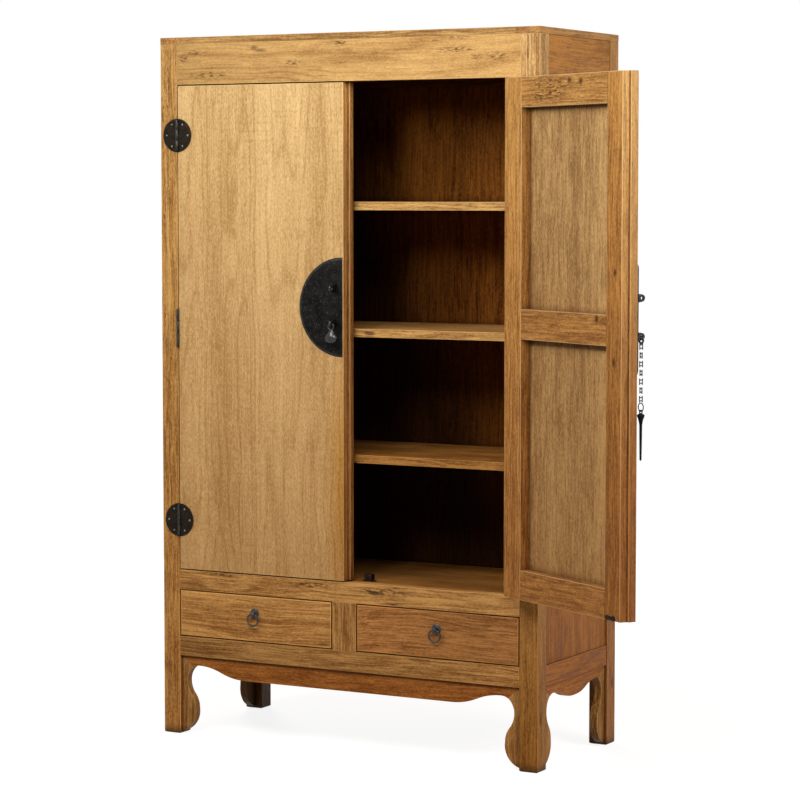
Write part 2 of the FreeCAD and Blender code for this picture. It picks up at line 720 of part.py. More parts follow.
def drawer_runners():
    """An L-shaped runner between the posts on each side, and an inverted T behind the divider."""
    z0 = DRAWER_FLOOR - RUNNER_THICKNESS
    z1 = DRAWER_FLOOR + GUIDE_HEIGHT
    inner = POST_INNER_X - RUNNER_WIDTH
    side = [(SIDE_RAIL_X0, z0), (SIDE_RAIL_X0, z1), (POST_INNER_X, z1), (POST_INNER_X, DRAWER_FLOOR),
            (inner, DRAWER_FLOOR), (inner, z0)]
    side_solid = prism([(x, -POST_INNER_Y, z) for x, z in side], (0, 2 * POST_INNER_Y, 0))
    guide = DIVIDER_WIDTH / 2
    wide = guide + RUNNER_WIDTH
    centre = [(-wide, z0), (wide, z0), (wide, DRAWER_FLOOR), (guide, DRAWER_FLOOR), (guide, z1),
              (-guide, z1), (-guide, DRAWER_FLOOR), (-wide, DRAWER_FLOOR)]
    y0 = FRONT + RAIL_DEPTH
    length = BACK_RAIL_Y[0] - y0
    centre_solid = prism([(x, y0, z) for x, z in centre], (0, length, 0))
    save("drawer_runners", both_sides(side_solid) + [centre_solid])


# Doors, made closed. The right door's front lip closes over the tongue on the left door's back part.

LEFT_MEETING_X = 0.0
RIGHT_MEETING_X = DOOR_MEETING_GAP
FRAME_Y = FRONT + DOOR_BOARD_THICKNESS
DOOR_BACK_Y = FRONT + DOOR_THICKNESS
LEFT_STILE_INNER_X = LEFT_MEETING_X + REBATE_OVERLAP - MEETING_STILE_WIDTH
RIGHT_STILE_INNER_X = RIGHT_MEETING_X + REBATE_OVERLAP + MEETING_STILE_WIDTH


def left_meeting_section():
    step = FRONT + REBATE_DEPTH + REBATE_GAP
    tongue = LEFT_MEETING_X + REBATE_OVERLAP
    return [(LEFT_STILE_INNER_X, FRAME_Y), (LEFT_MEETING_X, FRAME_Y), (LEFT_MEETING_X, step),
            (tongue, step), (tongue, DOOR_BACK_Y), (LEFT_STILE_INNER_X, DOOR_BACK_Y)]


def right_meeting_section():
    step = FRONT + REBATE_DEPTH
    lip = RIGHT_MEETING_X + REBATE_OVERLAP
    return [(RIGHT_MEETING_X, FRAME_Y), (RIGHT_STILE_INNER_X, FRAME_Y), (RIGHT_STILE_INNER_X, DOOR_BACK_Y),
            (lip, DOOR_BACK_Y), (lip, step), (RIGHT_MEETING_X, step)]


def door_rail_bands():
    half = DOOR_RAIL_HEIGHT / 2
    return [(DOOR_BOTTOM, DOOR_BOTTOM + DOOR_RAIL_HEIGHT),
            (DOOR_MIDDLE_RAIL_CENTRE - half, DOOR_MIDDLE_RAIL_CENTRE + half),
            (DOOR_TOP - DOOR_RAIL_HEIGHT, DOOR_TOP)]


def lug_places(side):
    """Upper and lower lug of the left (-1) or right (+1) door."""
    x = LEFT_MEETING_X - LUG_INSET if side < 0 else RIGHT_MEETING_X + LUG_INSET
    return [(x, UPPER_LUG_Z), (x, LOWER_LUG_Z)]


def lug_hole(x, z):
    width = LUG_SHANK_WIDTH + 2 * JOINT_CLEARANCE
    return square_bar(width, LUG_SHANK_LENGTH + JOINT_CLEARANCE, x, FRONT - LOCK_THICKNESS, z)


def lug(x, z):
    """A pierced lug, with a shank through the lock plate into the door."""
    face = FRONT - LOCK_THICKNESS
    base = LUG_BASE_HEIGHT / 2
    x0 = x - LUG_THICKNESS / 2
    outline = [(face, z + base)] + arc_points((LUG_EYE_Y, z), LUG_TIP_RADIUS, 90, 270, LUG_TIP_STEPS)
    outline.append((face, z - base))
    tab = prism([(x0, y, level) for y, level in outline], (LUG_THICKNESS, 0, 0))
    eye = rod(LUG_EYE_RADIUS, LUG_THICKNESS, (x0, LUG_EYE_Y, z), (1, 0, 0))
    shank = square_bar(LUG_SHANK_WIDTH, LUG_SHANK_LENGTH, x, face, z)
    return tab.fuse(shank).cut(eye).removeSplitter()


def lock_plate(edge_x, side):
    """A half disc with a bevelled rim, its straight side along the meeting edge."""
    profile = [(0, 0), (LOCK_RADIUS, 0), (LOCK_RADIUS, LOCK_EDGE_THICKNESS),
               (LOCK_RADIUS - LOCK_BEVEL_WIDTH, LOCK_THICKNESS), (0, LOCK_THICKNESS)]
    points = [Vector(0, -thick, r) for r, thick in profile]
    face = Part.Face(Part.makePolygon(points + points[:1]))
    half = face.revolve(Vector(0, 0, 0), Vector(0, 1, 0), 180 * side)
    half.translate(Vector(edge_x, FRONT, LOCK_CENTRE))
    return half.cut([lug_hole(x, z) for x, z in lug_places(side)])


def door_nodes(name, side, placed):
    """One door: board, stiles, rails, hinge leaves, nails, lock plate and lugs."""
    left = side < 0
    hinge_edge = side * DOOR_EDGE_X
    meeting_edge = LEFT_MEETING_X if left else RIGHT_MEETING_X
    stile_inner = LEFT_STILE_INNER_X if left else RIGHT_STILE_INNER_X
    hinge_inner = hinge_edge - side * HINGE_STILE_WIDTH
    tall = DOOR_TOP - DOOR_BOTTOM
    x_low, x_high = sorted((hinge_edge, meeting_edge))
    board = box(x_low, x_high, FRONT, FRAME_Y, DOOR_BOTTOM, DOOR_TOP)
    hinge_stile = box(*sorted((hinge_edge, hinge_inner)), FRAME_Y, DOOR_BACK_Y, DOOR_BOTTOM, DOOR_TOP)
    section = left_meeting_section() if left else right_meeting_section()
    meeting_stile = prism([(x, y, DOOR_BOTTOM) for x, y in section], (0, 0, tall))

    rails = []
    mortises = []
    y_mid = (FRAME_Y + DOOR_BACK_Y) / 2
    rail_x = sorted((hinge_inner, stile_inner))
    tenon_x = (rail_x[0] - TENON_LENGTH, rail_x[1] + TENON_LENGTH)
    for low, high in door_rail_bands():
        rail = box(*rail_x, FRAME_Y, DOOR_BACK_Y, low, high)
        rails.append(rail.fuse(tenon_along_x(*tenon_x, y_mid, low, high, 0)).removeSplitter())
        grown = (tenon_x[0] - JOINT_CLEARANCE, tenon_x[1] + JOINT_CLEARANCE)
        mortises.append(tenon_along_x(*grown, y_mid, low, high, JOINT_CLEARANCE))

    nail_holes = [nail_hole(x, z) for x, z in DOOR_NAIL_PLACES]
    leaves = DOOR_LEAVES
    nails = [nail(x, z) for x, z in DOOR_NAIL_PLACES]
    if left:
        nail_holes = [mirror_x(shape) for shape in nail_holes]
        leaves = [mirror_x(shape) for shape in leaves]
        nails = [mirror_x(shape) for shape in nails]
    lug_holes = [lug_hole(x, z) for x, z in lug_places(side)]
    edge_x = meeting_edge + side * (LEFT_LOCK_INSET if left else RIGHT_LOCK_INSET)

    pieces = {
        name + "_door_board": [board.cut(nail_holes + lug_holes)],
        name + "_door_hinge_stile": [hinge_stile.cut(mortises + nail_holes)],
        name + "_door_meeting_stile": [meeting_stile.cut(mortises + lug_holes)],
        name + "_door_rails": rails,
        name + "_door_hinge_leaves": leaves,
        name + "_door_hinge_nails": nails,
        name + "_lock_plate": [lock_plate(edge_x, side)],
        name + "_lock_lugs": [lug(x, z) for x, z in lug_places(side)],
    }
    for node, shapes in pieces.items():
        save(node, [placed(shape) for shape in shapes])


def hinge_fittings():
    leaves = []
    nails = []
    for shape in POST_LEAVES:
        leaves += both_sides(shape)
    for x, z in POST_NAIL_PLACES:
        nails += both_sides(nail(x, z))
    save("post_hinge_leaves", leaves)
    save("post_hinge_nails", nails)


def door_pull():
    """A flattened pear on a ring through the left door's lower lug."""
    x, z = lug_places(-1)[1]
    bail = ring(RING_RADIUS, RING_WIRE_RADIUS, (x, LUG_EYE_Y, z - RING_RADIUS), (0, 1, 0), RING_STEPS)
    top = z - 2 * RING_RADIUS + RING_WIRE_RADIUS / 2
    half = PEAR_WIDTH / 2
    profile = [(half * wide, PEAR_HEIGHT * down) for wide, down in PEAR_OUTLINE]
    pear = turned(profile, (0, 0, 0), (0, 0, -1), PEAR_SIDES)
    flatten = FreeCAD.Matrix()
    flatten.scale(1, PEAR_FLATNESS, 1)
    pear = pear.transformGeometry(flatten)
    pear.translate(Vector(x, LUG_EYE_Y, top))
    save("left_door_pull", [pear.fuse(bail)])


# Chain and lock pin on the right door's lower lug

def chain_link(x, z, across):
    """A straight-sided link centred at z; across is the horizontal direction that its loop lies along."""
    straight = LINK_INNER_LENGTH / 2 - LINK_INNER_WIDTH / 2
    bend = LINK_INNER_WIDTH / 2 + LINK_WIRE_RADIUS
    side = Vector(*across)
    up = Vector(0, 0, 1)
    normal = side.cross(up)
    centre = Vector(x, LUG_EYE_Y, z)
    sections = []
    for end in (1, -1):
        for i in range(LINK_BEND_STEPS + 1):
            turn = math.pi * i / LINK_BEND_STEPS
            outward = (side * math.cos(turn) + up * math.sin(turn)) * end
            middle = centre + up * (straight * end) + outward * bend
            sections.append(polygon_round(middle, outward, normal, LINK_WIRE_RADIUS, LINK_SIDES))
    return faceted(sections, True)


def chain_and_pin():
    x, z = lug_places(1)[1]
    pieces = [ring(RING_RADIUS, RING_WIRE_RADIUS, (x, LUG_EYE_Y, z - RING_RADIUS), (0, 1, 0), RING_STEPS)]
    half = LINK_INNER_LENGTH / 2 + LINK_WIRE_RADIUS
    wire_top = z - 2 * RING_RADIUS + RING_WIRE_RADIUS + LINK_WIRE_RADIUS + LINK_GAP
    for count in range(CHAIN_LINKS):
        across = (0, 1, 0) if count % 2 == 0 else (1, 0, 0)
        pieces.append(chain_link(x, wire_top - half, across))
        wire_top -= LINK_INNER_LENGTH - LINK_GAP
    last_wire = wire_top + LINK_INNER_LENGTH - LINK_GAP - 2 * half
    ring_top = last_wire + LINK_WIRE_RADIUS + END_RING_WIRE_RADIUS + LINK_GAP
    ring_centre = ring_top - END_RING_RADIUS
    normal = (1, 0, 0) if CHAIN_LINKS % 2 == 0 else (0, 1, 0)
    end_centre = (x, LUG_EYE_Y, ring_centre)
    pieces.append(ring(END_RING_RADIUS, END_RING_WIRE_RADIUS, end_centre, normal, RING_STEPS))
    save("lock_chain", [opened(piece) for piece in pieces])

    seat = ring_centre - END_RING_RADIUS
    eye_centre = seat + END_RING_WIRE_RADIUS + PIN_EYE_WIRE_RADIUS + LINK_GAP - PIN_EYE_RADIUS
    eye_normal = (0, 1, 0) if CHAIN_LINKS % 2 == 0 else (1, 0, 0)
    eye = ring(PIN_EYE_RADIUS, PIN_EYE_WIRE_RADIUS, (x, LUG_EYE_Y, eye_centre), eye_normal, RING_STEPS)
    crown = eye_centre - PIN_EYE_RADIUS
    rim = crown - PIN_CROWN_HEIGHT
    neck = rim - PIN_HEAD_HEIGHT + PIN_CROWN_HEIGHT
    tip = neck - PIN_SHANK_LENGTH
    profile = [(PIN_NECK_RADIUS, crown), (PIN_HEAD_RADIUS, rim), (PIN_SHANK_RADIUS, neck),
               (PIN_TIP_RADIUS, tip + PIN_TIP_RADIUS), (PIN_POINT_RADIUS, tip)]
    body = turned(profile, (x, LUG_EYE_Y, 0), (0, 0, 1), PIN_SIDES)
    save("lock_pin", [opened(body.fuse(eye))])
    print("pin hangs from z", round(seat, 2), "at x", round(x, 2), "y", round(LUG_EYE_Y, 2), "tip", round(tip, 2))


# Catch on the cabinet floor and its strike on the right door

def door_catch():
    x_mid = (RIGHT_MEETING_X + REBATE_OVERLAP + RIGHT_STILE_INNER_X) / 2 + CATCH_SIDE_SHIFT
    y0 = DOOR_BACK_Y + STRIKE_THICKNESS + CATCH_GAP + POLE_PROUD
    half_base = CATCH_BASE_WIDTH / 2
    half_body = CATCH_BODY_WIDTH / 2
    top = FLOOR_LEVEL + CATCH_BODY_HEIGHT
    base = box(x_mid - half_base, x_mid + half_base, y0, y0 + CATCH_DEPTH,
               FLOOR_LEVEL, FLOOR_LEVEL + CATCH_BASE_THICKNESS)
    corners = [edge for edge in base.Edges if edge.BoundBox.ZLength > CATCH_BASE_THICKNESS / 2]
    base = base.makeChamfer(CATCH_CORNER, corners)
    body = box(x_mid - half_body, x_mid + half_body, y0, y0 + CATCH_DEPTH, FLOOR_LEVEL, top)
    poles = []
    for side in (-1, 1):
        x0 = x_mid + side * POLE_SPACING / 2 - POLE_THICKNESS / 2
        poles.append(box(x0, x0 + POLE_THICKNESS, y0 - POLE_PROUD, y0 + CATCH_DEPTH,
                         FLOOR_LEVEL + CATCH_BASE_THICKNESS, top))
    housing = base.fuse(body).cut(poles).removeSplitter()
    save("door_catch", [housing] + poles)

    lobe = STRIKE_HEIGHT / 2
    z_mid = FLOOR_LEVEL + CATCH_BASE_THICKNESS + lobe + CATCH_GAP
    arm = half_base - lobe
    waist = STRIKE_WAIST / 2
    outline = arc_points((x_mid + arm, z_mid), lobe, -90, 90, STRIKE_END_STEPS) + [(x_mid, z_mid + waist)]
    outline += arc_points((x_mid - arm, z_mid), lobe, 90, 270, STRIKE_END_STEPS) + [(x_mid, z_mid - waist)]
    plate = prism([(x, DOOR_BACK_Y, z) for x, z in outline], (0, STRIKE_THICKNESS, 0))
    save("catch_strike", [opened(plate)])


# Drawers, made for the right-hand side and mirrored for the left

def drawer_boards():
    x0 = DIVIDER_WIDTH / 2
    x1 = POST_INNER_X
    front = box(x0 + DRAWER_GAP, x1 - DRAWER_GAP, FRONT, FRONT + DRAWER_FRONT_THICKNESS,
                DRAWER_FLOOR + DRAWER_GAP, DRAWER_CEILING - DRAWER_GAP)
    low = DRAWER_FLOOR + DRAWER_LIFT
    high = low + DRAWER_WALL_HEIGHT
    wall_y = FRONT + DRAWER_FRONT_THICKNESS
    end_y = FRONT + DRAWER_LENGTH
    left = x0 + DRAWER_SIDE_GAP
    right = x1 - DRAWER_SIDE_GAP
    bottom_z = low + DRAWER_BOTTOM_RISE
    bottom_top = bottom_z + DRAWER_BOTTOM_THICKNESS

    def bottom(grow):
        inset = DRAWER_WALL - DRAWER_GROOVE - grow
        return box(left + inset, right - inset, wall_y - DRAWER_GROOVE - grow, end_y,
                   bottom_z - grow, bottom_top + grow)

    groove = bottom(JOINT_CLEARANCE)
    sides = [box(left, left + DRAWER_WALL, wall_y, end_y, low, high).cut(groove),
             box(right - DRAWER_WALL, right, wall_y, end_y, low, high).cut(groove)]
    back = box(left + DRAWER_WALL, right - DRAWER_WALL, end_y - DRAWER_WALL, end_y, bottom_top, high)
    return front.cut(groove), sides, back, bottom(0)


def pull_centre():
    x = (DIVIDER_WIDTH / 2 + POST_INNER_X) / 2
    return x, DRAWER_CEILING - PULL_DROP


def pull_eye():
    """A domed rosette with a neck and a pierced ball, and a square shank into the drawer front."""
    x, z = pull_centre()
    profile = [(ROSETTE_RADIUS, 0), (ROSETTE_RADIUS, ROSETTE_EDGE_THICKNESS),
               (ROSETTE_CROWN_RADIUS, ROSETTE_THICKNESS), (PULL_NECK_RADIUS, ROSETTE_THICKNESS)]
    for latitude in PULL_BALL_LATITUDES:
        turn = math.radians(latitude)
        reach = PULL_REACH + PULL_BALL_RADIUS * math.sin(turn)
        profile.append((PULL_BALL_RADIUS * math.cos(turn), reach))
    body = turned(profile, (x, FRONT, z), (0, -1, 0), PULL_SIDES)
    shank = square_bar(PULL_SHANK_WIDTH, PULL_SHANK_LENGTH, x, FRONT, z)
    eye_span = [(PULL_EYE_RADIUS, -PULL_BALL_RADIUS), (PULL_EYE_RADIUS, PULL_BALL_RADIUS)]
    eye = turned(eye_span, (x, FRONT - PULL_REACH, z), (1, 0, 0), PULL_SIDES)
    return body.fuse(shank).cut(eye)


def pull_shank_hole():
    x, z = pull_centre()
    width = PULL_SHANK_WIDTH + 2 * JOINT_CLEARANCE
    return square_bar(width, PULL_SHANK_LENGTH + JOINT_CLEARANCE, x, FRONT, z)


def pull_ring():
    x, z = pull_centre()
    centre = (x, FRONT - PULL_REACH, z - PULL_RING_RADIUS)
    return ring(PULL_RING_RADIUS, PULL_RING_WIRE_RADIUS, centre, (0, 1, 0), PULL_RING_STEPS)


def drawers():
    front, sides, back, bottom = drawer_boards()
    pieces = {"drawer_front": [front.cut(pull_shank_hole())], "drawer_sides": sides, "drawer_back": [back],
              "drawer_bottom": [bottom], "drawer_pull": [pull_eye()], "drawer_ring": [pull_ring()]}
    for node, shapes in pieces.items():
        save("right_" + node, shapes)
        save("left_" + node, [mirror_x(shape) for shape in shapes])


carcass_frame()
cabinet_top()
base_curves()
inside_boards()
drawer_runners()
hinge_fittings()
door_nodes("left", -1, lambda shape: shape)
door_nodes("right", 1, opened)
door_pull()
chain_and_pin()
door_catch()
drawers()
print("hinge axis x", HINGE_X, "y", HINGE_Y)
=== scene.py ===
# %% [markdown]
# # A wedding cabinet in old wood and black iron
#
# This is a tall two-door cabinet of the kind that was once given to a bride.
# Four posts run from the floor to the top, and rails and panels are let in between them.
# The doors hang on round iron hinges, and half-round iron plates meet where the doors close.
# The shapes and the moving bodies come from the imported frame.
# This script gives them their softened edges, their timber and their iron.

# %% Load the frame
import math
import random
from types import SimpleNamespace

import bmesh
import bpy
from mathutils import Matrix, Vector


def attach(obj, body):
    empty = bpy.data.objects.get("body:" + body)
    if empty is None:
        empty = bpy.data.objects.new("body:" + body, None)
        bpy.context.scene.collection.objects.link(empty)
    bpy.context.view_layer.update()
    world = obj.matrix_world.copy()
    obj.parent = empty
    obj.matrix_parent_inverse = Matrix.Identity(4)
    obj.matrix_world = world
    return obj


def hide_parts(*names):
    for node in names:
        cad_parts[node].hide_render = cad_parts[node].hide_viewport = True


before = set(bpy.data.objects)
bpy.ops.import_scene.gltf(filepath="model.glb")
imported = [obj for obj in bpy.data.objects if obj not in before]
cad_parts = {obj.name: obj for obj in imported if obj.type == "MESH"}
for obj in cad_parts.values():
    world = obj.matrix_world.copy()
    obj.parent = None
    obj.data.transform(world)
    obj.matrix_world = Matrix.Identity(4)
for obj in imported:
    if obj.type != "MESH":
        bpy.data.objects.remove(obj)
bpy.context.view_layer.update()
scene = bpy.context.scene

# %% [markdown]
# ## The place to look from
#
# The cabinet is seen from its right front, a little above the middle of the doors.
# A long lens from seven metres keeps the posts nearly parallel, as a catalogue picture does.

# %% Camera
EYE = (3.6739, -6.5224, 1.4811)
TILT_DOWN = 0.0744
TURN_LEFT = 0.5084

lens = bpy.data.cameras.new("catalogue_lens")
lens.sensor_width = 36.0
lens.lens = 124.82
lens.clip_end = 60.0
camera = bpy.data.objects.new("catalogue_camera", lens)
camera.location = EYE
camera.rotation_euler = (math.pi / 2 - TILT_DOWN, 0.0, TURN_LEFT)
scene.collection.objects.link(camera)
scene.camera = camera
scene.view_settings.view_transform = "Standard"
print("camera", [round(v, 3) for v in camera.location])

# %% [markdown]
# ## Small helpers for finishes
#
# A finish is a chain of simple steps: a pattern, a range of it, and a mix of two colours.
# Each helper below adds one such step, so that the finishes further on read like a recipe.

# %% Finish helpers
def add(tree, kind, sockets=None, **settings):
    """One step of a finish; sockets are given a value or the output of an earlier step."""
    step = tree.nodes.new(kind)
    for key, value in settings.items():
        setattr(step, key, value)
    for key, value in (sockets or {}).items():
        if isinstance(value, bpy.types.NodeSocket):
            tree.links.new(value, step.inputs[key])
        else:
            step.inputs[key].default_value = value
    return step


def sums(tree, operation, first, second=0.0):
    return add(tree, "ShaderNodeMath", {0: first, 1: second}, operation=operation).outputs[0]


def vectors(tree, operation, first, second=(0.0, 0.0, 0.0), output=0):
    step = add(tree, "ShaderNodeVectorMath", {0: first, 1: second}, operation=operation)
    return step.outputs[output]


def span(tree, value, low, high, to_low=0.0, to_high=1.0):
    sockets = {"Value": value, "From Min": low, "From Max": high, "To Min": to_low, "To Max": to_high}
    return add(tree, "ShaderNodeMapRange", sockets).outputs[0]


def object_place(tree):
    return add(tree, "ShaderNodeTexCoord").outputs["Object"]


print("finish steps ready")

# %% [markdown]
# ## Helpers for colour
#
# Colours are mixed, tinted or darkened, and noise breaks them up.
# The noise can be finer in one direction than in another, as the fibres of timber are.

# %% Colour helpers
def rgba(colour):
    return (*colour, 1.0)


def darker(colour, share):
    return rgba([share * v for v in colour])


def blend(tree, factor, first, second, blend_type="MIX"):
    sockets = {0: factor, 6: first, 7: second}
    return add(tree, "ShaderNodeMix", sockets, data_type="RGBA", blend_type=blend_type).outputs[2]


def tinted(tree, colour, tint):
    return blend(tree, 1.0, colour, rgba(tint), "MULTIPLY")


def stretched(tree, place, scale, detail=3.0, roughness=0.55):
    """Noise that is finer across the grain than along it."""
    scaled = vectors(tree, "MULTIPLY", place, scale)
    sockets = {"Vector": scaled, "Scale": 1.0, "Detail": detail, "Roughness": roughness}
    return add(tree, "ShaderNodeTexNoise", sockets).outputs[0]


print("colour steps ready")

# %% [markdown]
# ## A pale floor
#
# The cabinet stands on a pale floor in front of a white background.
# The camera and mirror-like reflections see the floor as white, with a painted grey shade near the cabinet.
# All other light meets a dull grey, because a bright floor would light the legs from below.

# %% Floor
FLOOR_HALF = 14.0
FLOOR_GREY = (0.24, 0.23, 0.22)


def seen_directly(tree):
    """One for rays of the camera and of mirror-like or clear surfaces, nought for scattered light."""
    rays = add(tree, "ShaderNodeLightPath").outputs
    mirrored = sums(tree, "MAXIMUM", rays["Is Glossy Ray"], rays["Is Transmission Ray"])
    return sums(tree, "MAXIMUM", rays["Is Camera Ray"], mirrored)


floor_mesh = bpy.data.meshes.new("studio_floor")
bm = bmesh.new()
bmesh.ops.create_grid(bm, x_segments=1, y_segments=1, size=FLOOR_HALF)
bm.to_mesh(floor_mesh)
bm.free()
floor = bpy.data.objects.new("studio_floor", floor_mesh)
scene.collection.objects.link(floor)

paper = bpy.data.materials.new("studio_paper")
paper.use_nodes = True
tree = paper.node_tree
paper_shader = tree.nodes["Principled BSDF"]
paper_shader.inputs["Base Color"].default_value = rgba(FLOOR_GREY)
paper_shader.inputs["Roughness"].default_value = 0.9
paper_shader.inputs["Specular IOR Level"].default_value = 0.0
away = vectors(tree, "LENGTH", object_place(tree), output="Value")
# Painted shade: the floor glows less near the cabinet, so it is greyer round it.
white = sums(tree, "MULTIPLY", seen_directly(tree), span(tree, away, 0.9, 2.4, 0.88, 1.0))
glow = add(tree, "ShaderNodeEmission", {"Color": rgba((1, 1, 1)), "Strength": white})
both = add(tree, "ShaderNodeAddShader", {0: paper_shader.outputs[0], 1: glow.outputs[0]})
tree.links.new(both.outputs[0], tree.nodes["Material Output"].inputs["Surface"])
floor_mesh.materials.append(paper)
print("floor", 2 * FLOOR_HALF, "m wide")

# %% [markdown]
# ## A white background
#
# The background is white to look at, but it gives hardly any light.
# The lamps can then shade the cabinet from top to bottom.

# %% Background
AIR_LIGHT = 0.03

world = bpy.data.worlds.new("studio_air")
scene.world = world
world.use_nodes = True
tree = world.node_tree
air = tree.nodes["Background"]
air.inputs["Color"].default_value = rgba((1.0, 1.0, 1.0))
tree.links.new(span(tree, seen_directly(tree), 0.0, 1.0, AIR_LIGHT, 1.0), air.inputs["Strength"])
print("background light", AIR_LIGHT)

# %% [markdown]
# ## Plain studio lamps
#
# Two soft lamps stand high in front, left and right, so the top is lightest and the legs fall into shade.
# A smaller, lower lamp in front reaches the back of the upper compartments, and the shelves shade the rest.
# A lamp at the right keeps the side from going black, and one behind does the same for the back and the left.

# %% Lamps
WARM_WHITE = (1.0, 0.97, 0.92)


def lamp(name, place, aim, size, watts, tint=WARM_WHITE):
    data = bpy.data.lights.new(name, "AREA")
    data.shape = "DISK"
    data.size = size
    data.energy = watts
    data.color = tint
    lit = bpy.data.objects.new(name, data)
    lit.location = place
    lit.rotation_euler = (Vector(aim) - Vector(place)).to_track_quat("-Z", "Y").to_euler()
    scene.collection.objects.link(lit)
    print(name, watts, "W")


lamp("high_left_lamp", (-0.9, -2.3, 2.7), (0.1, -0.2, 1.3), 1.2, 35.0)
lamp("high_right_lamp", (1.3, -2.5, 3.0), (0.0, -0.2, 1.2), 1.0, 26.0)
lamp("front_lamp", (0.4, -2.6, 2.3), (0.1, -0.2, 1.5), 0.6, 22.0)
lamp("right_fill_lamp", (4.0, -1.3, 2.6), (0.6, -0.2, 1.2), 1.8, 126.0, (1.0, 0.95, 0.88))
lamp("back_lamp", (-2.6, 2.8, 1.3), (-0.2, 0.2, 1.0), 1.2, 110.0, (1.0, 0.97, 0.94))

# %% [markdown]
# ## The grain of the timber
#
# Old softwood has wide pale bands, soft clouds, fine fibres and the arches of its growth rings.
# All of them follow the grain, so each board carries its own place measured along and across its grain.
# The patterns are read from that place, and end grain then shows by itself where a board is cut off.

# %% Grain patterns
WANDER = (0.035, 0.035, 0.0)
RING_WAVES = 110.0


def attribute(tree, name, output="Fac"):
    return add(tree, "ShaderNodeAttribute", attribute_name=name).outputs[output]


def grain_patterns(tree, ring_edge):
    """The patterns on one board; all but the rings run from minus a half to a half."""
    grain = attribute(tree, "grain", "Vector")
    # The fibres wander a little along a board.
    slow = add(tree, "ShaderNodeTexNoise", {"Vector": grain, "Scale": 3.0, "Detail": 2.0}).outputs["Color"]
    place = vectors(tree, "ADD", grain, vectors(tree, "MULTIPLY", slow, WANDER))

    def layer(scale, detail, roughness=0.55, reach=0.2):
        noise = stretched(tree, place, scale, detail, roughness)
        return span(tree, noise, 0.5 - reach, 0.5 + reach, -0.5, 0.5)

    arches = sums(tree, "MULTIPLY", stretched(tree, place, (7.0, 7.0, 0.3), 1.0), RING_WAVES)
    wave = span(tree, sums(tree, "SINE", arches), -1.0, 1.0)
    return SimpleNamespace(
        grain=grain, place=place,
        band=layer((10.0, 10.0, 0.8), 2.0),
        cloud=layer((12.0, 12.0, 5.0), 3.0),
        blotch=layer((85.0, 85.0, 18.0), 4.0, 0.6),
        fibre=layer((210.0, 210.0, 5.0), 4.0, 0.65, reach=0.16),
        speck=layer((300.0, 300.0, 120.0), 1.0, reach=0.25),
        ring=sums(tree, "POWER", wave, ring_edge))


print("grain patterns ready")

# %% [markdown]
# ## The colour of the grain
#
# Each timber lies between a pale and a deep colour, and the patterns say how much of each shows.
# A wide board is glued up from narrow planks, and a saw leaves faint lines across them.

# %% Grain colour
MIDDLE_LIGHT = 0.52
PLANKS_PER_METRE = 12.0


def grain_colour(tree, look, wood):
    layers = [(wood.band, 0.45 * look.bands), (wood.cloud, 0.25 * look.bands), (wood.blotch, 0.4 * look.mottle),
              (wood.fibre, 0.7 * look.fibres), (wood.speck, 0.6 * look.specks), (wood.ring, -0.5 * look.figure)]
    light = MIDDLE_LIGHT
    for layer, weight in layers:
        light = sums(tree, "ADD", sums(tree, "MULTIPLY", layer, weight), light)
    if look.planks:
        across = add(tree, "ShaderNodeSeparateXYZ", {0: wood.grain}).outputs[0]
        plank = sums(tree, "FLOOR", sums(tree, "MULTIPLY", across, PLANKS_PER_METRE))
        own = add(tree, "ShaderNodeTexWhiteNoise", {"W": plank}, noise_dimensions="1D").outputs["Value"]
        light = sums(tree, "ADD", light, sums(tree, "MULTIPLY", sums(tree, "SUBTRACT", own, 0.5), look.planks))
    if look.saw:
        line = span(tree, stretched(tree, wood.grain, (4.0, 4.0, 170.0), 1.0), 0.60, 0.70)
        patch = span(tree, stretched(tree, wood.grain, (6.0, 6.0, 5.0), 1.0), 0.5, 0.62)
        sawn = sums(tree, "MULTIPLY", sums(tree, "MULTIPLY", line, patch), look.saw)
        light = sums(tree, "SUBTRACT", light, sawn)
    return blend(tree, span(tree, light, 0.0, 1.0), rgba(look.deep), rgba(look.pale))


print("grain colour ready")

# %% [markdown]
# ## Marks in the timber
#
# Dark streaks run far along a board, and drying checks are short, thin and come in clusters.
# Small pits are sparse: only some of the cells of a wide net hold one.
# Worm tracks, bruises and knots sit where a board has them.

# %% Marks
def nearness(tree, marks):
    """One at the middle of the nearest mark, falling to nought at its rim."""
    here = object_place(tree)
    near = 0.0
    for middle, size in marks:
        off = vectors(tree, "DIVIDE", vectors(tree, "SUBTRACT", here, middle), size)
        far = vectors(tree, "LENGTH", off, output="Value")
        near = sums(tree, "MAXIMUM", span(tree, far, 0.0, 1.0, 1.0, 0.0), near)
    return near


def dark_lines(tree, look, wood):
    streak = span(tree, stretched(tree, wood.place, (90.0, 90.0, 2.4), 6.0, 0.72), 0.58, 0.74)
    check = span(tree, stretched(tree, wood.place, (150.0, 150.0, 12.0), 3.0, 0.65), 0.55, 0.66)
    cluster = span(tree, stretched(tree, wood.place, (14.0, 14.0, 4.0), 3.0), 0.54, 0.66)
    check = sums(tree, "MULTIPLY", sums(tree, "MULTIPLY", check, cluster), look.checks)
    lines = sums(tree, "MAXIMUM", sums(tree, "MULTIPLY", streak, look.streaks), check)
    if look.scars:
        broken = span(tree, stretched(tree, wood.place, (230.0, 230.0, 65.0), 3.0, 0.6), 0.46, 0.60)
        near = span(tree, nearness(tree, look.scars), 0.0, 0.6, 0.0, look.scar_depth)
        lines = sums(tree, "MAXIMUM", lines, sums(tree, "MULTIPLY", broken, near))
    return lines


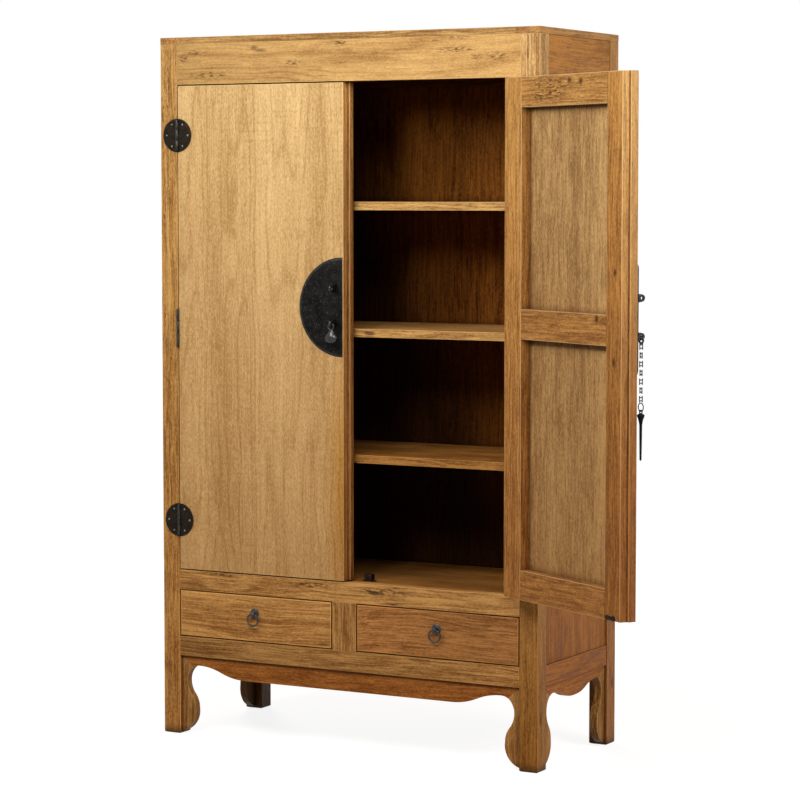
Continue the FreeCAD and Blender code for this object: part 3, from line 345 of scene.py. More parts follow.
def dark_spots(tree, look, wood):
    cell = vectors(tree, "MULTIPLY", wood.place, (22.0, 22.0, 8.0))
    net = add(tree, "ShaderNodeTexVoronoi", {"Vector": cell, "Scale": 1.0}, feature="F1").outputs
    chosen = add(tree, "ShaderNodeSeparateColor", {0: net["Color"]}).outputs[0]
    size = span(tree, chosen, 1.0 - 0.3 * look.pits, 1.0, 0.0, 0.2)
    ragged = sums(tree, "ADD", net["Distance"], sums(tree, "MULTIPLY", wood.fibre, 0.08))
    spots = sums(tree, "MULTIPLY", span(tree, sums(tree, "SUBTRACT", size, ragged), 0.0, 0.09), 0.75)
    if look.knots:
        dark = sums(tree, "ADD", nearness(tree, look.knots), sums(tree, "MULTIPLY", wood.blotch, 0.3))
        spots = sums(tree, "MAXIMUM", spots, span(tree, dark, 0.1, 0.8, 0.0, look.knot_depth))
    return spots


print("marks ready")

# %% [markdown]
# ## Wear, stains and painted shade
#
# Hands rub the open arrises paler than the faces, but not those in the seams between two boards, and this paler
# arris is also a painted highlight.
# They also leave oil, which has soaked in along a free edge and made it warmer.
# The lower timber is darker and warmer, painted shade of the light falling off towards the floor, and no two boards
# are equally dark.
# Wet mops and scuffing have blackened the very ends of the legs, and painted shade darkens the inner corners and
# seams.

# %% Wear, stains and painted shade
SEAM_REACH = 0.018
DARKEST, LIGHTEST = 0.2, 1.4


def worn_and_shaded(tree, look, wood, colour):
    # Painted shade: ambient occlusion finds the corners and seams, and they are darkened at the end.
    corner = add(tree, "ShaderNodeAmbientOcclusion", {"Distance": SEAM_REACH}, samples=4).outputs["AO"]
    # The open arrises are paler: rubbed wear and a painted highlight.
    rubbed = sums(tree, "MULTIPLY", attribute(tree, "arris"), span(tree, corner, *look.rub, 0.0, 0.7))
    colour = blend(tree, rubbed, colour, rgba(look.dust or [min(1.0, 1.3 * v) for v in look.pale]))

    if look.stains:
        oil = sums(tree, "ADD", nearness(tree, look.stains), sums(tree, "MULTIPLY", wood.band, 0.2))
        colour = blend(tree, span(tree, oil, 0.0, 0.8), colour, tinted(tree, colour, look.stain_tint))

    # Painted shade: the lower the place, the darker and warmer its colour.
    colour = blend(tree, attribute(tree, "low_shade"), colour, tinted(tree, colour, look.age))
    # Each board's tone, with its lean, makes it darker or lighter; some leans are painted light and shade.
    shade = sums(tree, "ADD", sums(tree, "MULTIPLY", attribute(tree, "tone"), 0.7), 0.6)
    shade = sums(tree, "MINIMUM", sums(tree, "MAXIMUM", shade, DARKEST), LIGHTEST)
    grey = add(tree, "ShaderNodeCombineColor", {0: shade, 1: shade, 2: shade}).outputs[0]
    colour = blend(tree, 1.0, colour, grey, "MULTIPLY")

    height = add(tree, "ShaderNodeSeparateXYZ", {0: object_place(tree)}).outputs[2]
    wet = sums(tree, "ADD", span(tree, height, 0.0, 0.03, 0.75, 0.0), sums(tree, "MULTIPLY", wood.blotch, 0.25))
    wet = sums(tree, "MULTIPLY", wet, span(tree, height, 0.02, 0.035, 1.0, 0.0))
    colour = blend(tree, wet, colour, darker(look.streak, 0.3))
    # Painted shade in the corners and seams, towards the streak colour.
    return blend(tree, span(tree, corner, 0.35, 0.95, look.grime, 0.0), colour, darker(look.streak, 0.35))


print("wear ready")

# %% [markdown]
# ## One timber from its recipe
#
# A timber starts from a plain look, and each kind below changes only what differs.
# The fibres, pits and checks are also felt: they change the gloss and leave a fine relief.

# %% Timber recipe
# In the plain look, one value sets the painted shade in corners and seams, two set the paler arrises, which are
# partly a painted highlight, and one tints the painted shade low down.
PLAIN = dict(bands=1.0, figure=0.3, fibres=1.0, mottle=1.0, specks=1.0, streaks=0.5, checks=0.5, pits=0.5,
             roughness=0.5, shine=0.13, grime=0.75, relief=0.6, ring_edge=5.0, planks=0.0, saw=0.0,
             scars=(), scar_depth=0.75, knots=(), knot_depth=0.9, stains=(), stain_tint=(0.86, 0.72, 0.42),
             age=(0.93, 0.75, 0.62), rub=(0.75, 0.98), dust=None)
RELIEF_DEPTH = 0.0008


def timber(name, pale, deep, streak, **changes):
    look = SimpleNamespace(**{**PLAIN, **changes}, pale=pale, deep=deep, streak=streak)
    made = bpy.data.materials.new(name)
    made.use_nodes = True
    tree = made.node_tree
    shader = tree.nodes["Principled BSDF"].inputs
    wood = grain_patterns(tree, look.ring_edge)
    lines = dark_lines(tree, look, wood)
    spots = dark_spots(tree, look, wood)
    colour = blend(tree, lines, grain_colour(tree, look, wood), rgba(streak))
    colour = blend(tree, spots, colour, darker(streak, 0.4))
    tree.links.new(worn_and_shaded(tree, look, wood, colour), shader["Base Color"])

    gloss = span(tree, wood.fibre, -0.5, 0.5, look.roughness - 0.08, look.roughness + 0.1)
    tree.links.new(gloss, shader["Roughness"])
    shader["Specular IOR Level"].default_value = look.shine
    rise = sums(tree, "MULTIPLY", sums(tree, "ADD", wood.speck, wood.blotch), 0.5)
    height = sums(tree, "SUBTRACT", sums(tree, "ADD", wood.fibre, rise), sums(tree, "ADD", spots, lines))
    bump = add(tree, "ShaderNodeBump", {"Height": height, "Strength": look.relief, "Distance": RELIEF_DEPTH})
    tree.links.new(bump.outputs[0], shader["Normal"])
    return made


print("plain look", len(PLAIN), "values")

# %% [markdown]
# ## Where the marks are
#
# Some boards have marks of their own: knots, worm tracks, bruises and oily edges.
# Each mark is given as its middle and its half lengths, so that it stays on its board.
# Those of the right door are placed with the door open, as it stands at rest.

# %% Places of the marks
FACE = -0.235
MARK_DEPTH = 0.05


def on_front(*marks):
    """Marks on the front of the cabinet, from their place and half lengths across and up."""
    return [((x, FACE, z), (wide, MARK_DEPTH, high)) for x, z, wide, high in marks]


TOP_RAIL_KNOTS = on_front((-0.2736, 1.866, 0.020, 0.010), (-0.256, 1.859, 0.030, 0.007))
TOP_RAIL_SCARS = on_front((0.3365, 1.846, 0.07, 0.010), (0.4465, 1.827, 0.045, 0.013), (0.3925, 1.828, 0.02, 0.013),
                          (0.3364, 1.882, 0.08, 0.007), (0.275, 1.875, 0.02, 0.008), (-0.4975, 1.843, 0.018, 0.016),
                          (-0.4639, 1.857, 0.045, 0.009), (-0.1526, 1.824, 0.035, 0.010),
                          (-0.018, 1.873, 0.05, 0.009), (-0.42, 1.797, 0.08, 0.012))
MIDDLE_RAIL_SCARS = on_front((-0.3825, 0.449, 0.08, 0.007), (-0.10, 0.4405, 0.10, 0.011), (0.12, 0.437, 0.13, 0.014))
POST_SCARS = on_front((-0.553, 1.765, 0.011, 0.10), (-0.566, 1.70, 0.006, 0.06), (-0.562, 1.45, 0.007, 0.12),
                      (-0.56, 1.12, 0.007, 0.10))
OILED_EDGE = [((0.004, FACE, 0.70), (0.065, 0.1, 0.42))]
OILED_OPEN_EDGE = [((0.95, -0.509, 0.65), (0.4, 0.4, 0.95))]
DOOR_SCARS = [((0.6371, -0.3606, 1.7493), (0.045, 0.045, 0.016)),
              ((0.6334, -0.3585, 1.7201), (0.055, 0.055, 0.018)),
              ((0.694, -0.3935, 1.157), (0.05, 0.04, 0.009)),
              ((0.68, -0.385, 1.735), (0.12, 0.09, 0.045))]
DOOR_KNOTS = [((0.7444, -0.4225, 1.7548), (0.013, 0.02, 0.012)),
              ((0.7857, -0.4464, 1.7507), (0.012, 0.02, 0.016)),
              ((0.848, -0.4824, 1.1805), (0.010, 0.016, 0.018)),
              ((0.913, -0.5199, 1.2926), (0.009, 0.014, 0.016)),
              ((0.9102, -0.5183, 1.0785), (0.009, 0.014, 0.018))]
print("marks on the top rail", len(TOP_RAIL_KNOTS) + len(TOP_RAIL_SCARS))

# %% [markdown]
# ## The timbers of the carcass
#
# The frame is honey brown, the right drawer and the end caps are redder, and the sides are reddest.
# The two front posts and the front rails have recipes of their own, because they were cut from other planks.
# What is never seen or handled was left bare and has gone nearly black.

# %% Carcass timbers
STREAK = (0.09, 0.032, 0.007)
HONEY = dict(pale=(0.735, 0.447, 0.158), deep=(0.265, 0.117, 0.028), streak=STREAK)
honey = timber("honey_frame", **HONEY, fibres=1.4, mottle=0.7, specks=0.8, streaks=0.45, checks=0.55)
drawer_wood = timber("drawer_wood", **HONEY, mottle=0.7, specks=0.8, streaks=0.25, checks=0.4, pits=0.4)
top_rail = timber("top_rail", (0.74, 0.458, 0.168), (0.28, 0.126, 0.03), STREAK, fibres=0.4, mottle=0.6, bands=0.8,
                  specks=0.6, figure=0.5, streaks=0.2, checks=0.3, pits=0.1, scars=TOP_RAIL_SCARS, scar_depth=0.85,
                  knots=TOP_RAIL_KNOTS, knot_depth=0.6)
middle_rail = timber("middle_rail", **HONEY, fibres=1.4, mottle=0.7, specks=0.8, checks=0.8,
                     scars=MIDDLE_RAIL_SCARS, scar_depth=0.85)
post_wood = timber("post_wood", (0.72, 0.415, 0.13), (0.255, 0.102, 0.019), STREAK, fibres=1.1, bands=1.1,
                   streaks=0.6, checks=0.8, pits=0.4, scars=POST_SCARS, age=(0.96, 0.80, 0.70))
right_post = timber("right_post", (0.69, 0.44, 0.177), (0.255, 0.115, 0.03), STREAK, fibres=1.4, bands=1.2,
                    streaks=0.6, checks=0.6, pits=0.4, age=(0.83, 0.54, 0.22))
apron_wood = timber("apron_wood", (0.65, 0.278, 0.064), (0.235, 0.074, 0.009), (0.07, 0.02, 0.003), fibres=1.1,
                    checks=0.4, pits=0.3)
ruddy_wood = timber("ruddy_wood", (0.70, 0.365, 0.10), (0.25, 0.092, 0.014), (0.09, 0.030, 0.006), fibres=1.4,
                    bands=1.5, streaks=0.8, checks=0.6, pits=0.3)
reddish = timber("reddish_frame", (0.67, 0.343, 0.116), (0.285, 0.121, 0.032), (0.10, 0.036, 0.009), fibres=1.6,
                 mottle=1.2, checks=0.4, pits=0.3)
side_red = timber("red_side", (0.53, 0.230, 0.05), (0.225, 0.083, 0.014), (0.10, 0.036, 0.011), fibres=1.5,
                  mottle=1.6, bands=1.4, streaks=0.4, checks=0.4, pits=0.12)
dark_inside = timber("dark_inside", (0.21, 0.078, 0.011), (0.05, 0.014, 0.002), (0.02, 0.006, 0.001), pits=0.2,
                     roughness=0.65, grime=0.6, shine=0.05)
print("carcass timbers", [m.name for m in bpy.data.materials])

# %% [markdown]
# ## The timbers of the doors
#
# The outer boards were cleaned and waxed, so they are the palest and show planks, rings and saw lines.
# Their inner faces are dull with dust, and the frames glued on them are dark from handling.
# The sawn edges differ from the faces, and those of the open door are oily where it is held; on the left door the
# edges carry painted shade and the free edge of the meeting stile painted light.

# %% Door timbers
# On the door frames the paler arrises, partly a painted highlight, reach closer into the seams.
DOOR_RUB_AND_HIGHLIGHT = (0.4, 0.8)
OILY = dict(stains=OILED_OPEN_EDGE, stain_tint=(0.64, 0.48, 0.40), fibres=0.8, pits=0.1, grime=0.08)
pale_door = timber("pale_door", (0.82, 0.57, 0.272), (0.44, 0.254, 0.088), (0.32, 0.16, 0.048), bands=0.8,
                   figure=0.5, fibres=0.42, mottle=0.2, streaks=0.1, checks=0.0, pits=0.0, roughness=0.46,
                   grime=0.3, relief=0.4, ring_edge=10.0, planks=0.26, saw=0.12, stains=OILED_EDGE)
dusty_inner = timber("dusty_inner", (0.60, 0.374, 0.153), (0.26, 0.137, 0.048), (0.16, 0.075, 0.024), fibres=0.8,
                     bands=1.2, mottle=1.4, specks=1.2, streaks=0.2, checks=0.2, pits=0.1, roughness=0.6, grime=0.7)
door_frame = timber("door_frame", (0.71, 0.375, 0.109), (0.275, 0.112, 0.026), (0.09, 0.032, 0.008), fibres=1.2,
                    mottle=1.2, bands=0.8, streaks=0.6, checks=0.7, pits=0.2, grime=0.6, scars=DOOR_SCARS,
                    scar_depth=0.9, knots=DOOR_KNOTS, age=(0.93, 0.72, 0.58), rub=DOOR_RUB_AND_HIGHLIGHT, dust=(0.78, 0.56, 0.32))
free_stile = timber("free_stile", (0.68, 0.34, 0.087), (0.26, 0.10, 0.02), (0.09, 0.03, 0.007), fibres=1.2,
                    mottle=1.2, bands=0.8, streaks=0.6, checks=0.7, pits=0.2, grime=0.6, knots=DOOR_KNOTS,
                    age=(0.93, 0.68, 0.5), rub=DOOR_RUB_AND_HIGHLIGHT, dust=(0.82, 0.58, 0.33))
# A shaded and a lit copy of one edge timber: painted shade on the left board's edges, painted light on the free edge
# of its meeting stile.
shaded_edge = timber("shaded_edge", (0.62, 0.335, 0.115), (0.33, 0.138, 0.036), (0.14, 0.05, 0.012), fibres=1.2,
                     streaks=0.4, checks=0.3, pits=0.0, grime=0.35)
lit_orange_edge = timber("lit_orange_edge", (0.84, 0.42, 0.13), (0.44, 0.17, 0.04), (0.16, 0.05, 0.012), fibres=1.2,
                     streaks=0.4, checks=0.3, pits=0.0, grime=0.35)
worn_edge = timber("worn_edge", (0.53, 0.32, 0.127), (0.235, 0.117, 0.037), (0.14, 0.052, 0.013), mottle=1.4,
                   streaks=0.4, **OILY)
stile_edge = timber("stile_edge", (0.70, 0.42, 0.147), (0.31, 0.157, 0.046), (0.14, 0.052, 0.013), mottle=1.2,
                    streaks=0.3, checks=0.4, **OILY)
print("all finishes so far", len(bpy.data.materials))

# %% [markdown]
# ## The look of the iron
#
# The fittings were forged, then blackened with oil over heat.
# The skin is uneven and dull, and grit under the blacking shows as small pale specks.
# Rims, hinge barrels and nail heads are rubbed brighter; on the hinges and the lugs that brightness is also a
# painted highlight. The lugs, the chain and the rings are glossy from use.

# %% Iron finish
SKIN_DEPTH = 0.0006


def iron(name, dark, rubbed, wear, roughness, shine):
    made = bpy.data.materials.new(name)
    made.use_nodes = True
    tree = made.node_tree
    shader = tree.nodes["Principled BSDF"].inputs
    place = object_place(tree)
    broad = stretched(tree, place, (60.0, 60.0, 60.0), 4.0, 0.6)
    fine = stretched(tree, place, (420.0, 420.0, 420.0), 3.0, 0.6)
    patch = span(tree, sums(tree, "ADD", broad, sums(tree, "MULTIPLY", fine, 0.4)), 0.5, 0.95)
    colour = blend(tree, sums(tree, "MULTIPLY", patch, wear), rgba(dark), rgba(rubbed))
    grit = span(tree, stretched(tree, place, (300.0, 300.0, 300.0), 1.0), 0.66, 0.72)
    colour = blend(tree, sums(tree, "MULTIPLY", grit, wear), colour, rgba([3.5 * v for v in rubbed]))
    tree.links.new(colour, shader["Base Color"])
    shader["Specular IOR Level"].default_value = shine
    tree.links.new(span(tree, fine, 0.3, 0.7, roughness - 0.07, roughness + 0.1), shader["Roughness"])
    height = sums(tree, "ADD", broad, sums(tree, "MULTIPLY", fine, 0.35))
    bump = add(tree, "ShaderNodeBump", {"Height": height, "Strength": 0.5, "Distance": SKIN_DEPTH})
    tree.links.new(bump.outputs[0], shader["Normal"])
    return made


black_iron = iron("black_iron", (0.008, 0.006, 0.004), (0.036, 0.025, 0.015), 0.6, 0.5, 0.07)
slate_iron = iron("slate_iron", (0.0015, 0.0015, 0.0015), (0.022, 0.022, 0.021), 0.8, 0.45, 0.05)
rim_iron = iron("rim_iron", (0.006, 0.006, 0.006), (0.045, 0.045, 0.045), 0.8, 0.4, 0.12)
rubbed_iron = iron("rubbed_iron", (0.12, 0.115, 0.105), (0.32, 0.31, 0.29), 0.9, 0.38, 0.3)
glossy_iron = iron("glossy_iron", (0.003, 0.003, 0.0035), (0.02, 0.021, 0.024), 0.7, 0.17, 0.45)
ring_iron = iron("ring_iron", (0.006, 0.006, 0.007), (0.05, 0.052, 0.058), 0.8, 0.2, 0.4)
barrel_iron = iron("barrel_iron", (0.005, 0.005, 0.004), (0.062, 0.058, 0.046), 0.8, 0.3, 0.22)
brown_case = iron("brown_case", (0.010, 0.004, 0.003), (0.026, 0.010, 0.008), 0.5, 0.4, 0.06)
print("iron finishes", 8)

# %% [markdown]
# ## From the frame to whole boards
#
# Each board starts from the frame's own shape, whose triangles are joined into whole flat faces.
# A node may hold several boards, such as the two side panels, and each of them is a cut of timber of its own.

# %% Whole boards
def whole_faces(node):
    """The node's shape with its triangles joined into flat faces."""
    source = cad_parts[node]
    bm = bmesh.new()
    bm.from_mesh(source.data)
    bm.transform(source.matrix_world)
    bmesh.ops.remove_doubles(bm, verts=bm.verts, dist=1e-6)
    bmesh.ops.dissolve_limit(bm, angle_limit=0.01, verts=bm.verts, edges=bm.edges)
    bm.faces.layers.float.new("arris")
    return bm


def boards_of(bm):
    """The separate boards in one mesh, as lists of vertices, in an order that is the same in every run."""
    seen, found = set(), []
    for first in bm.verts:
        if first in seen:
            continue
        seen.add(first)
        todo, board = [first], []
        while todo:
            vert = todo.pop()
            board.append(vert)
            for edge in vert.link_edges:
                other = edge.other_vert(vert)
                if other not in seen:
                    seen.add(other)
                    todo.append(other)
        found.append(board)
    return sorted(found, key=lambda board: min(tuple(round(c, 4) for c in v.co) for v in board))


print("board shapes ready")

# %% [markdown]
# ## Softened edges
#
# A joiner planes a board square and then takes the sharp arrises off with a pass or two of the plane.
# So the long outer edges are rounded by about a millimetre, and those new faces are marked as arrises.
# The legs are rounded more round the bottom, where they were dragged over floors.

# %% Softened edges
SHARP = math.radians(35)
ROUND = dict(offset_type="OFFSET", affect="EDGES", profile=0.5, material=-1, clamp_overlap=False)


def ease_edges(bm, width, shortest):
    """Rounds the outer edges that are longer than given."""
    sharp = [e for e in bm.edges if len(e.link_faces) == 2 and e.calc_length() > shortest
             and e.calc_face_angle_signed(0.0) > SHARP]
    if sharp:
        rounded = bmesh.ops.bevel(bm, geom=sharp, offset=width, segments=2, **ROUND)
        arris = bm.faces.layers.float["arris"]
        for face in rounded["faces"]:
            face[arris] = 1.0


def wear_foot(bm, width):
    """Rounds the edges round the bottom of a leg."""
    worn_ends = [e for e in bm.edges if all(v.co.z < 1e-5 for v in e.verts) and len(e.link_faces) == 2]
    bmesh.ops.bevel(bm, geom=worn_ends, offset=width, segments=3, **ROUND)


print("edges sharper than", round(math.degrees(SHARP)), "degrees are rounded")

# %% [markdown]
# ## Grain and tone of a board
#
# Each board gets its grain direction, its own piece of a tree and its tone, which may change along it.
# The lower a place is, the more painted shade it gets.
# The right door stands open, so its grain is measured as if the door were shut.

# %% Grain and tone
ALONG = {"x": (2, 1, 0), "y": (0, 2, 1), "z": (0, 1, 2)}
TREE_SPREAD = 40
SHADED_BELOW = 1.7
HINGE = Vector((0.5185, -0.239, 0.0))
OPEN_TURN = math.radians(150.0)
OPENED = Matrix.Translation(HINGE) @ Matrix.Rotation(OPEN_TURN, 4, "Z") @ Matrix.Translation(-HINGE)
CLOSED = OPENED.inverted()
rng = random.Random(31)


def give_grain(bm, along, still, tones, lean=None):
    """Writes each board's place along its grain, its tone and the painted shade it gets low down."""
    place = bm.verts.layers.float_vector.new("grain")
    tone = bm.verts.layers.float.new("tone")
    low_shade = bm.verts.layers.float.new("low_shade")
    order = ALONG[along]
    for board in boards_of(bm):
        shift = Vector([rng.uniform(0, TREE_SPREAD) for _ in range(3)])
        level = rng.uniform(*tones)
        for vert in board:
            local = still @ vert.co
            vert[place] = Vector([local[i] for i in order]) + shift
            vert[tone] = level + (lean(vert.co) if lean else 0.0)
            # Painted shade: one at the floor, falling to nought at the height given.
            vert[low_shade] = min(1.0, max(0.0, 1.0 - vert.co.z / SHADED_BELOW))


print("right door open by", round(math.degrees(OPEN_TURN)), "degrees")

# %% [markdown]
# ## A finished piece
#
# A finished piece rides on its body and takes the place of the frame's plain node.
# Flat faces stay flat and only the rounded arrises shade softly, as on planed timber.
# A board may have other finishes on its back or its edges, picked by the way a face looks.

# %% Finished pieces
CREASE = math.radians(38)
FOOT_WEAR = 0.004


def piece(name, bm, finishes, body, nodes=()):
    """Turns a mesh into a finished piece that rides on its body."""
    for face in bm.faces:
        face.smooth = True
    for edge in bm.edges:
        edge.smooth = edge.calc_face_angle(0.0) < CREASE
    mesh = bpy.data.meshes.new(name)
    bm.to_mesh(mesh)
    bm.free()
    for finish in finishes:
        mesh.materials.append(finish)
    made = bpy.data.objects.new(name, mesh)
    scene.collection.objects.link(made)
    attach(made, body)
    if nodes:
        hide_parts(*nodes)
    return made


def pick_finishes(bm, still, pick):
    for face in bm.faces:
        face.material_index = pick(still.to_3x3() @ face.normal, still @ face.calc_center_median())


def board(node, along, finishes, body, slot, tones, width=0.0012, shortest=0.02, still=Matrix(), pick=None,
          cut=None, lean=None):
    bm = whole_faces(node)
    if node.endswith("_post"):
        wear_foot(bm, FOOT_WEAR)
    if cut:
        back = still.inverted()
        bmesh.ops.bisect_plane(bm, geom=bm.verts[:] + bm.edges[:] + bm.faces[:],
                               plane_co=back @ Vector((cut, 0, 0)), plane_no=back.to_3x3() @ Vector((1, 0, 0)))
    ease_edges(bm, width, shortest)
    if pick:
        pick_finishes(bm, still, pick)
    give_grain(bm, along, still, tones, lean)
    made = piece(f"{node}_board", bm, finishes, body, [node])
    made.modifiers.new("flat_faces", "WEIGHTED_NORMAL").keep_sharp = True


print("pieces are creased at", round(math.degrees(CREASE)), "degrees")

# %% [markdown]
# ## The carcass
#
# The posts are one length of timber each, so their grain runs upright.
# The rails between them run level, and the side panels stand upright in their grooves.
# The top is one wide panel with a cap across each end, whose end grain shows darker at the front corners.
# The apron and the brackets are sawn to a curve, so their short edges are eased too.

# %% Carcass boards
CARCASS = [
    ("top_panel", "x", honey, "frame_wood", (0.25, 0.25)),
    ("top_end_rails", "y", reddish, "side_wood", (0.1, 0.3)),
    ("front_left_post", "z", post_wood, "frame_wood", (0.66, 0.66)),
    ("front_right_post", "z", right_post, "frame_wood", (0.10, 0.10)),
    # Painted shade: the back left post is dark, darkest at the floor.
    ("back_left_post", "z", reddish, "frame_wood", (-0.42, -0.42)),
    ("back_right_post", "z", reddish, "frame_wood", (0.2, 0.25)),
    ("front_top_rail", "x", top_rail, "frame_wood", (0.52, 0.52)),
    ("front_middle_rail", "x", middle_rail, "frame_wood", (0.58, 0.58)),
    ("front_lower_rail", "x", honey, "frame_wood", (0.36, 0.36)),
    ("drawer_divider", "z", honey, "frame_wood", (0.4, 0.4)),
    ("side_top_rails", "y", side_red, "side_wood", (0.28, 0.36)),
    ("side_lower_rails", "y", side_red, "side_wood", (0.42, 0.5)),
    ("side_panels", "z", side_red, "side_wood", (0.5, 0.55)),
    ("back_rails", "x", dark_inside, "inside_wood", (0.5, 0.6)),
    ("back_panel", "z", dark_inside, "inside_wood", (0.0, 0.0)),
    ("cabinet_floor", "x", ruddy_wood, "inside_wood", (0.13, 0.13)),
    ("lower_shelf", "x", ruddy_wood, "inside_wood", (0.22, 0.22)),
    ("middle_shelf", "x", honey, "inside_wood", (0.6, 0.6)),
    ("upper_shelf", "x", honey, "inside_wood", (0.62, 0.62)),
    ("shelf_bearers", "y", dark_inside, "inside_wood", (0.4, 0.6)),
    ("drawer_runners", "y", dark_inside, "inside_wood", (0.4, 0.6)),
]
CURVED = [("front_apron", "x", apron_wood), ("side_aprons", "y", apron_wood), ("leg_brackets", "z", honey)]
CURVED_TONES = (0.22, 0.34)
BACK_MIDDLE = 0.222
# A lean tilts a board's tone along it; some leans are painted light and shade, as noted.
LEAN = {
    # Painted light: the top rail is lighter towards the right, where the lamps fall more.
    "front_top_rail": lambda p: 0.3 * p.x,
    "front_lower_rail": lambda p: 0.3 * p.x,
    "front_left_post": lambda p: -0.18 * p.z,
    "front_right_post": lambda p: 0.22 * p.z,
    # Painted shade: the back left post lightens upwards from the floor.
    "back_left_post": lambda p: 0.4 * p.z,
    "side_panels": lambda p: -0.09 * p.z,
    # Painted shade: the floor of the cabinet darkens towards the back, most of all at the left.
    "cabinet_floor": lambda p: 0.68 * p.x - 0.4 if p.y > 0.0 else -0.25 * p.x,
    # Painted shade: the brackets at the back left leg are as dark as the leg.
    "leg_brackets": lambda p: -0.7 if p.x < -0.4 and p.y > 0.0 else 0.0,
    # The inner face is painted darkest low down at the left and lightest up at the right, painted shade and light
    # where the lamps reach into the compartments; the outer face is even.
    "back_panel": lambda p: 5.0 * p.x + 2.6 * p.z - 3.0 if p.y < BACK_MIDDLE else 0.45,
}
for node, along, finish, slot, tones in CARCASS:
    board(node, along, [finish], "carcass", slot, tones, lean=LEAN.get(node))
for node, along, finish in CURVED:
    board(node, along, [finish], "carcass", "frame_wood", CURVED_TONES, shortest=0.004, lean=LEAN.get(node))
print("carcass boards", len(CARCASS) + len(CURVED))

# %% [markdown]
# ## The doors
#
# Each door is a thin board with a frame glued on its back.
# The right board laps over the left one, and the lap is a strip of edge wood on its back.
# The meeting stiles have a free edge, which shows the sawn wood.

# %% Door boards
LAP = 0.009
SIDES = (("left", Matrix()), ("right", CLOSED))


def face_back_or_edge(normal, place):
    if normal.y < -0.5:
        return 0
    return 1 if normal.y > 0.5 and not 0.0 < place.x < LAP else 2


def stile_face_or_free_edge(normal, place):
    return 1 if normal.x * (1 if place.x < 0 else -1) > 0.5 else 0


for side, still in SIDES:
    body = f"{side}_door"
    # On the left door the edges take the painted-shade copy and the free edge the painted-light copy.
    edge, stile = (shaded_edge, lit_orange_edge) if side == "left" else (worn_edge, stile_edge)
    # Painted light: the door board and the meeting stile grow lighter towards the top.
    board(f"{side}_door_board", "z", [pale_door, dusty_inner, edge], body, "door_board_wood", (0.44, 0.44),
          still=still, pick=face_back_or_edge, cut=LAP if side == "right" else None, lean=lambda p: 0.09 * p.z)
    board(f"{side}_door_hinge_stile", "z", [door_frame], body, "door_frame_wood", (0.64, 0.64), still=still,
          lean=lambda p: -0.08 * p.z)
    board(f"{side}_door_meeting_stile", "z", [free_stile, stile], body, "door_frame_wood", (0.4, 0.4), width=0.002,
          still=still, pick=stile_face_or_free_edge, lean=lambda p: 0.09 * p.z - 0.14)
    board(f"{side}_door_rails", "x", [door_frame], body, "door_frame_wood", (0.38, 0.42), width=0.0018,
          shortest=0.2, still=still)
print("door boards", 8)

# %% [markdown]
# ## The drawers
#
# The drawer fronts were cut from different planks, and the right one is redder.
# The sides, the back and the bottom are plain thin stock, darker because they were never finished.

# %% Drawer boards
FRONT_EDGE = 0.0028
DRAWERS = [("left", drawer_wood, (0.76, 0.76), None), ("right", reddish, (0.6, 0.6), lambda p: -0.8 * p.x)]
HIDDEN = [("sides", "y"), ("back", "x"), ("bottom", "x")]
HIDDEN_TONES = (0.7, 0.8)

for side, finish, tones, lean in DRAWERS:
    body = f"{side}_drawer"
    board(f"{side}_drawer_front", "x", [finish], body, "frame_wood", tones, width=FRONT_EDGE, lean=lean)
    for part, along in HIDDEN:
        board(f"{side}_drawer_{part}", along, [dark_inside], body, "inside_wood", HIDDEN_TONES)
print("drawer boards", len(DRAWERS) * (1 + len(HIDDEN)))

# %% [markdown]
# ## Flat iron: hinges, plates and lugs
#
# The hinge leaves, the half-round lock plates and the pierced lugs were cut from sheet and bar, then filed.
# A file leaves a small bright bevel, so the rim of each lock plate is lighter than its face, and the lighter rims of
# the hinge leaves and edges of the lugs are also painted highlights.
# The catch on the cabinet floor has a dark case with two bright poles.

# %% Flat iron pieces
BARREL_RADIUS = 0.0042
CATCH_X = 0.048
POLE_OFFSET, POLE_HALF = 0.0055, 0.0009


def flat_iron(node, finishes, body, width=0.0004, shortest=0.0015, still=Matrix(), pick=None):
    bm = whole_faces(node)
    ease_edges(bm, width, shortest)
    if pick:
        pick_finishes(bm, still, pick)
    elif len(finishes) > 1:
        # The rounded edges take the second, lighter finish: on the lugs a rubbed edge and a painted highlight.
        arris = bm.faces.layers.float["arris"]
        for face in bm.faces:
            face.material_index = int(face[arris])
    piece(f"{node}_iron", bm, finishes, body, [node])


def face_or_rim(normal, place):
    return 1 if -0.98 < normal.y < -0.4 else 0


# The barrel and the rim of each hinge leaf get the brighter iron: rubbed, and a painted highlight.
def leaf_or_barrel(normal, place):
    barrel = math.hypot(abs(place.x) - HINGE.x, place.y - HINGE.y) < BARREL_RADIUS
    return 1 if barrel or -0.95 < normal.y < -0.3 else 0


def case_or_pole(normal, place):
    return 1 if abs(abs(place.x - CATCH_X) - POLE_OFFSET) < POLE_HALF else 0


flat_iron("post_hinge_leaves", [black_iron, barrel_iron], "carcass", pick=leaf_or_barrel)
flat_iron("door_catch", [brown_case, barrel_iron], "carcass", pick=case_or_pole)
for side, still in SIDES:
    body = f"{side}_door"
    flat_iron(f"{side}_door_hinge_leaves", [black_iron, barrel_iron], body, still=still, pick=leaf_or_barrel)
    flat_iron(f"{side}_lock_plate", [slate_iron, rim_iron], body, still=still, pick=face_or_rim)
    flat_iron(f"{side}_lock_lugs", [glossy_iron, rim_iron], body, width=0.0008)
flat_iron("catch_strike", [black_iron], "right_door")
print("flat iron pieces", 9)

# %% [markdown]
# ## Round iron: turned shapes
#
# Pins, balls and nail heads were turned or hammered to a round shape, so each is a profile spun about its axis.
# Several such shapes are joined where they make up one piece.

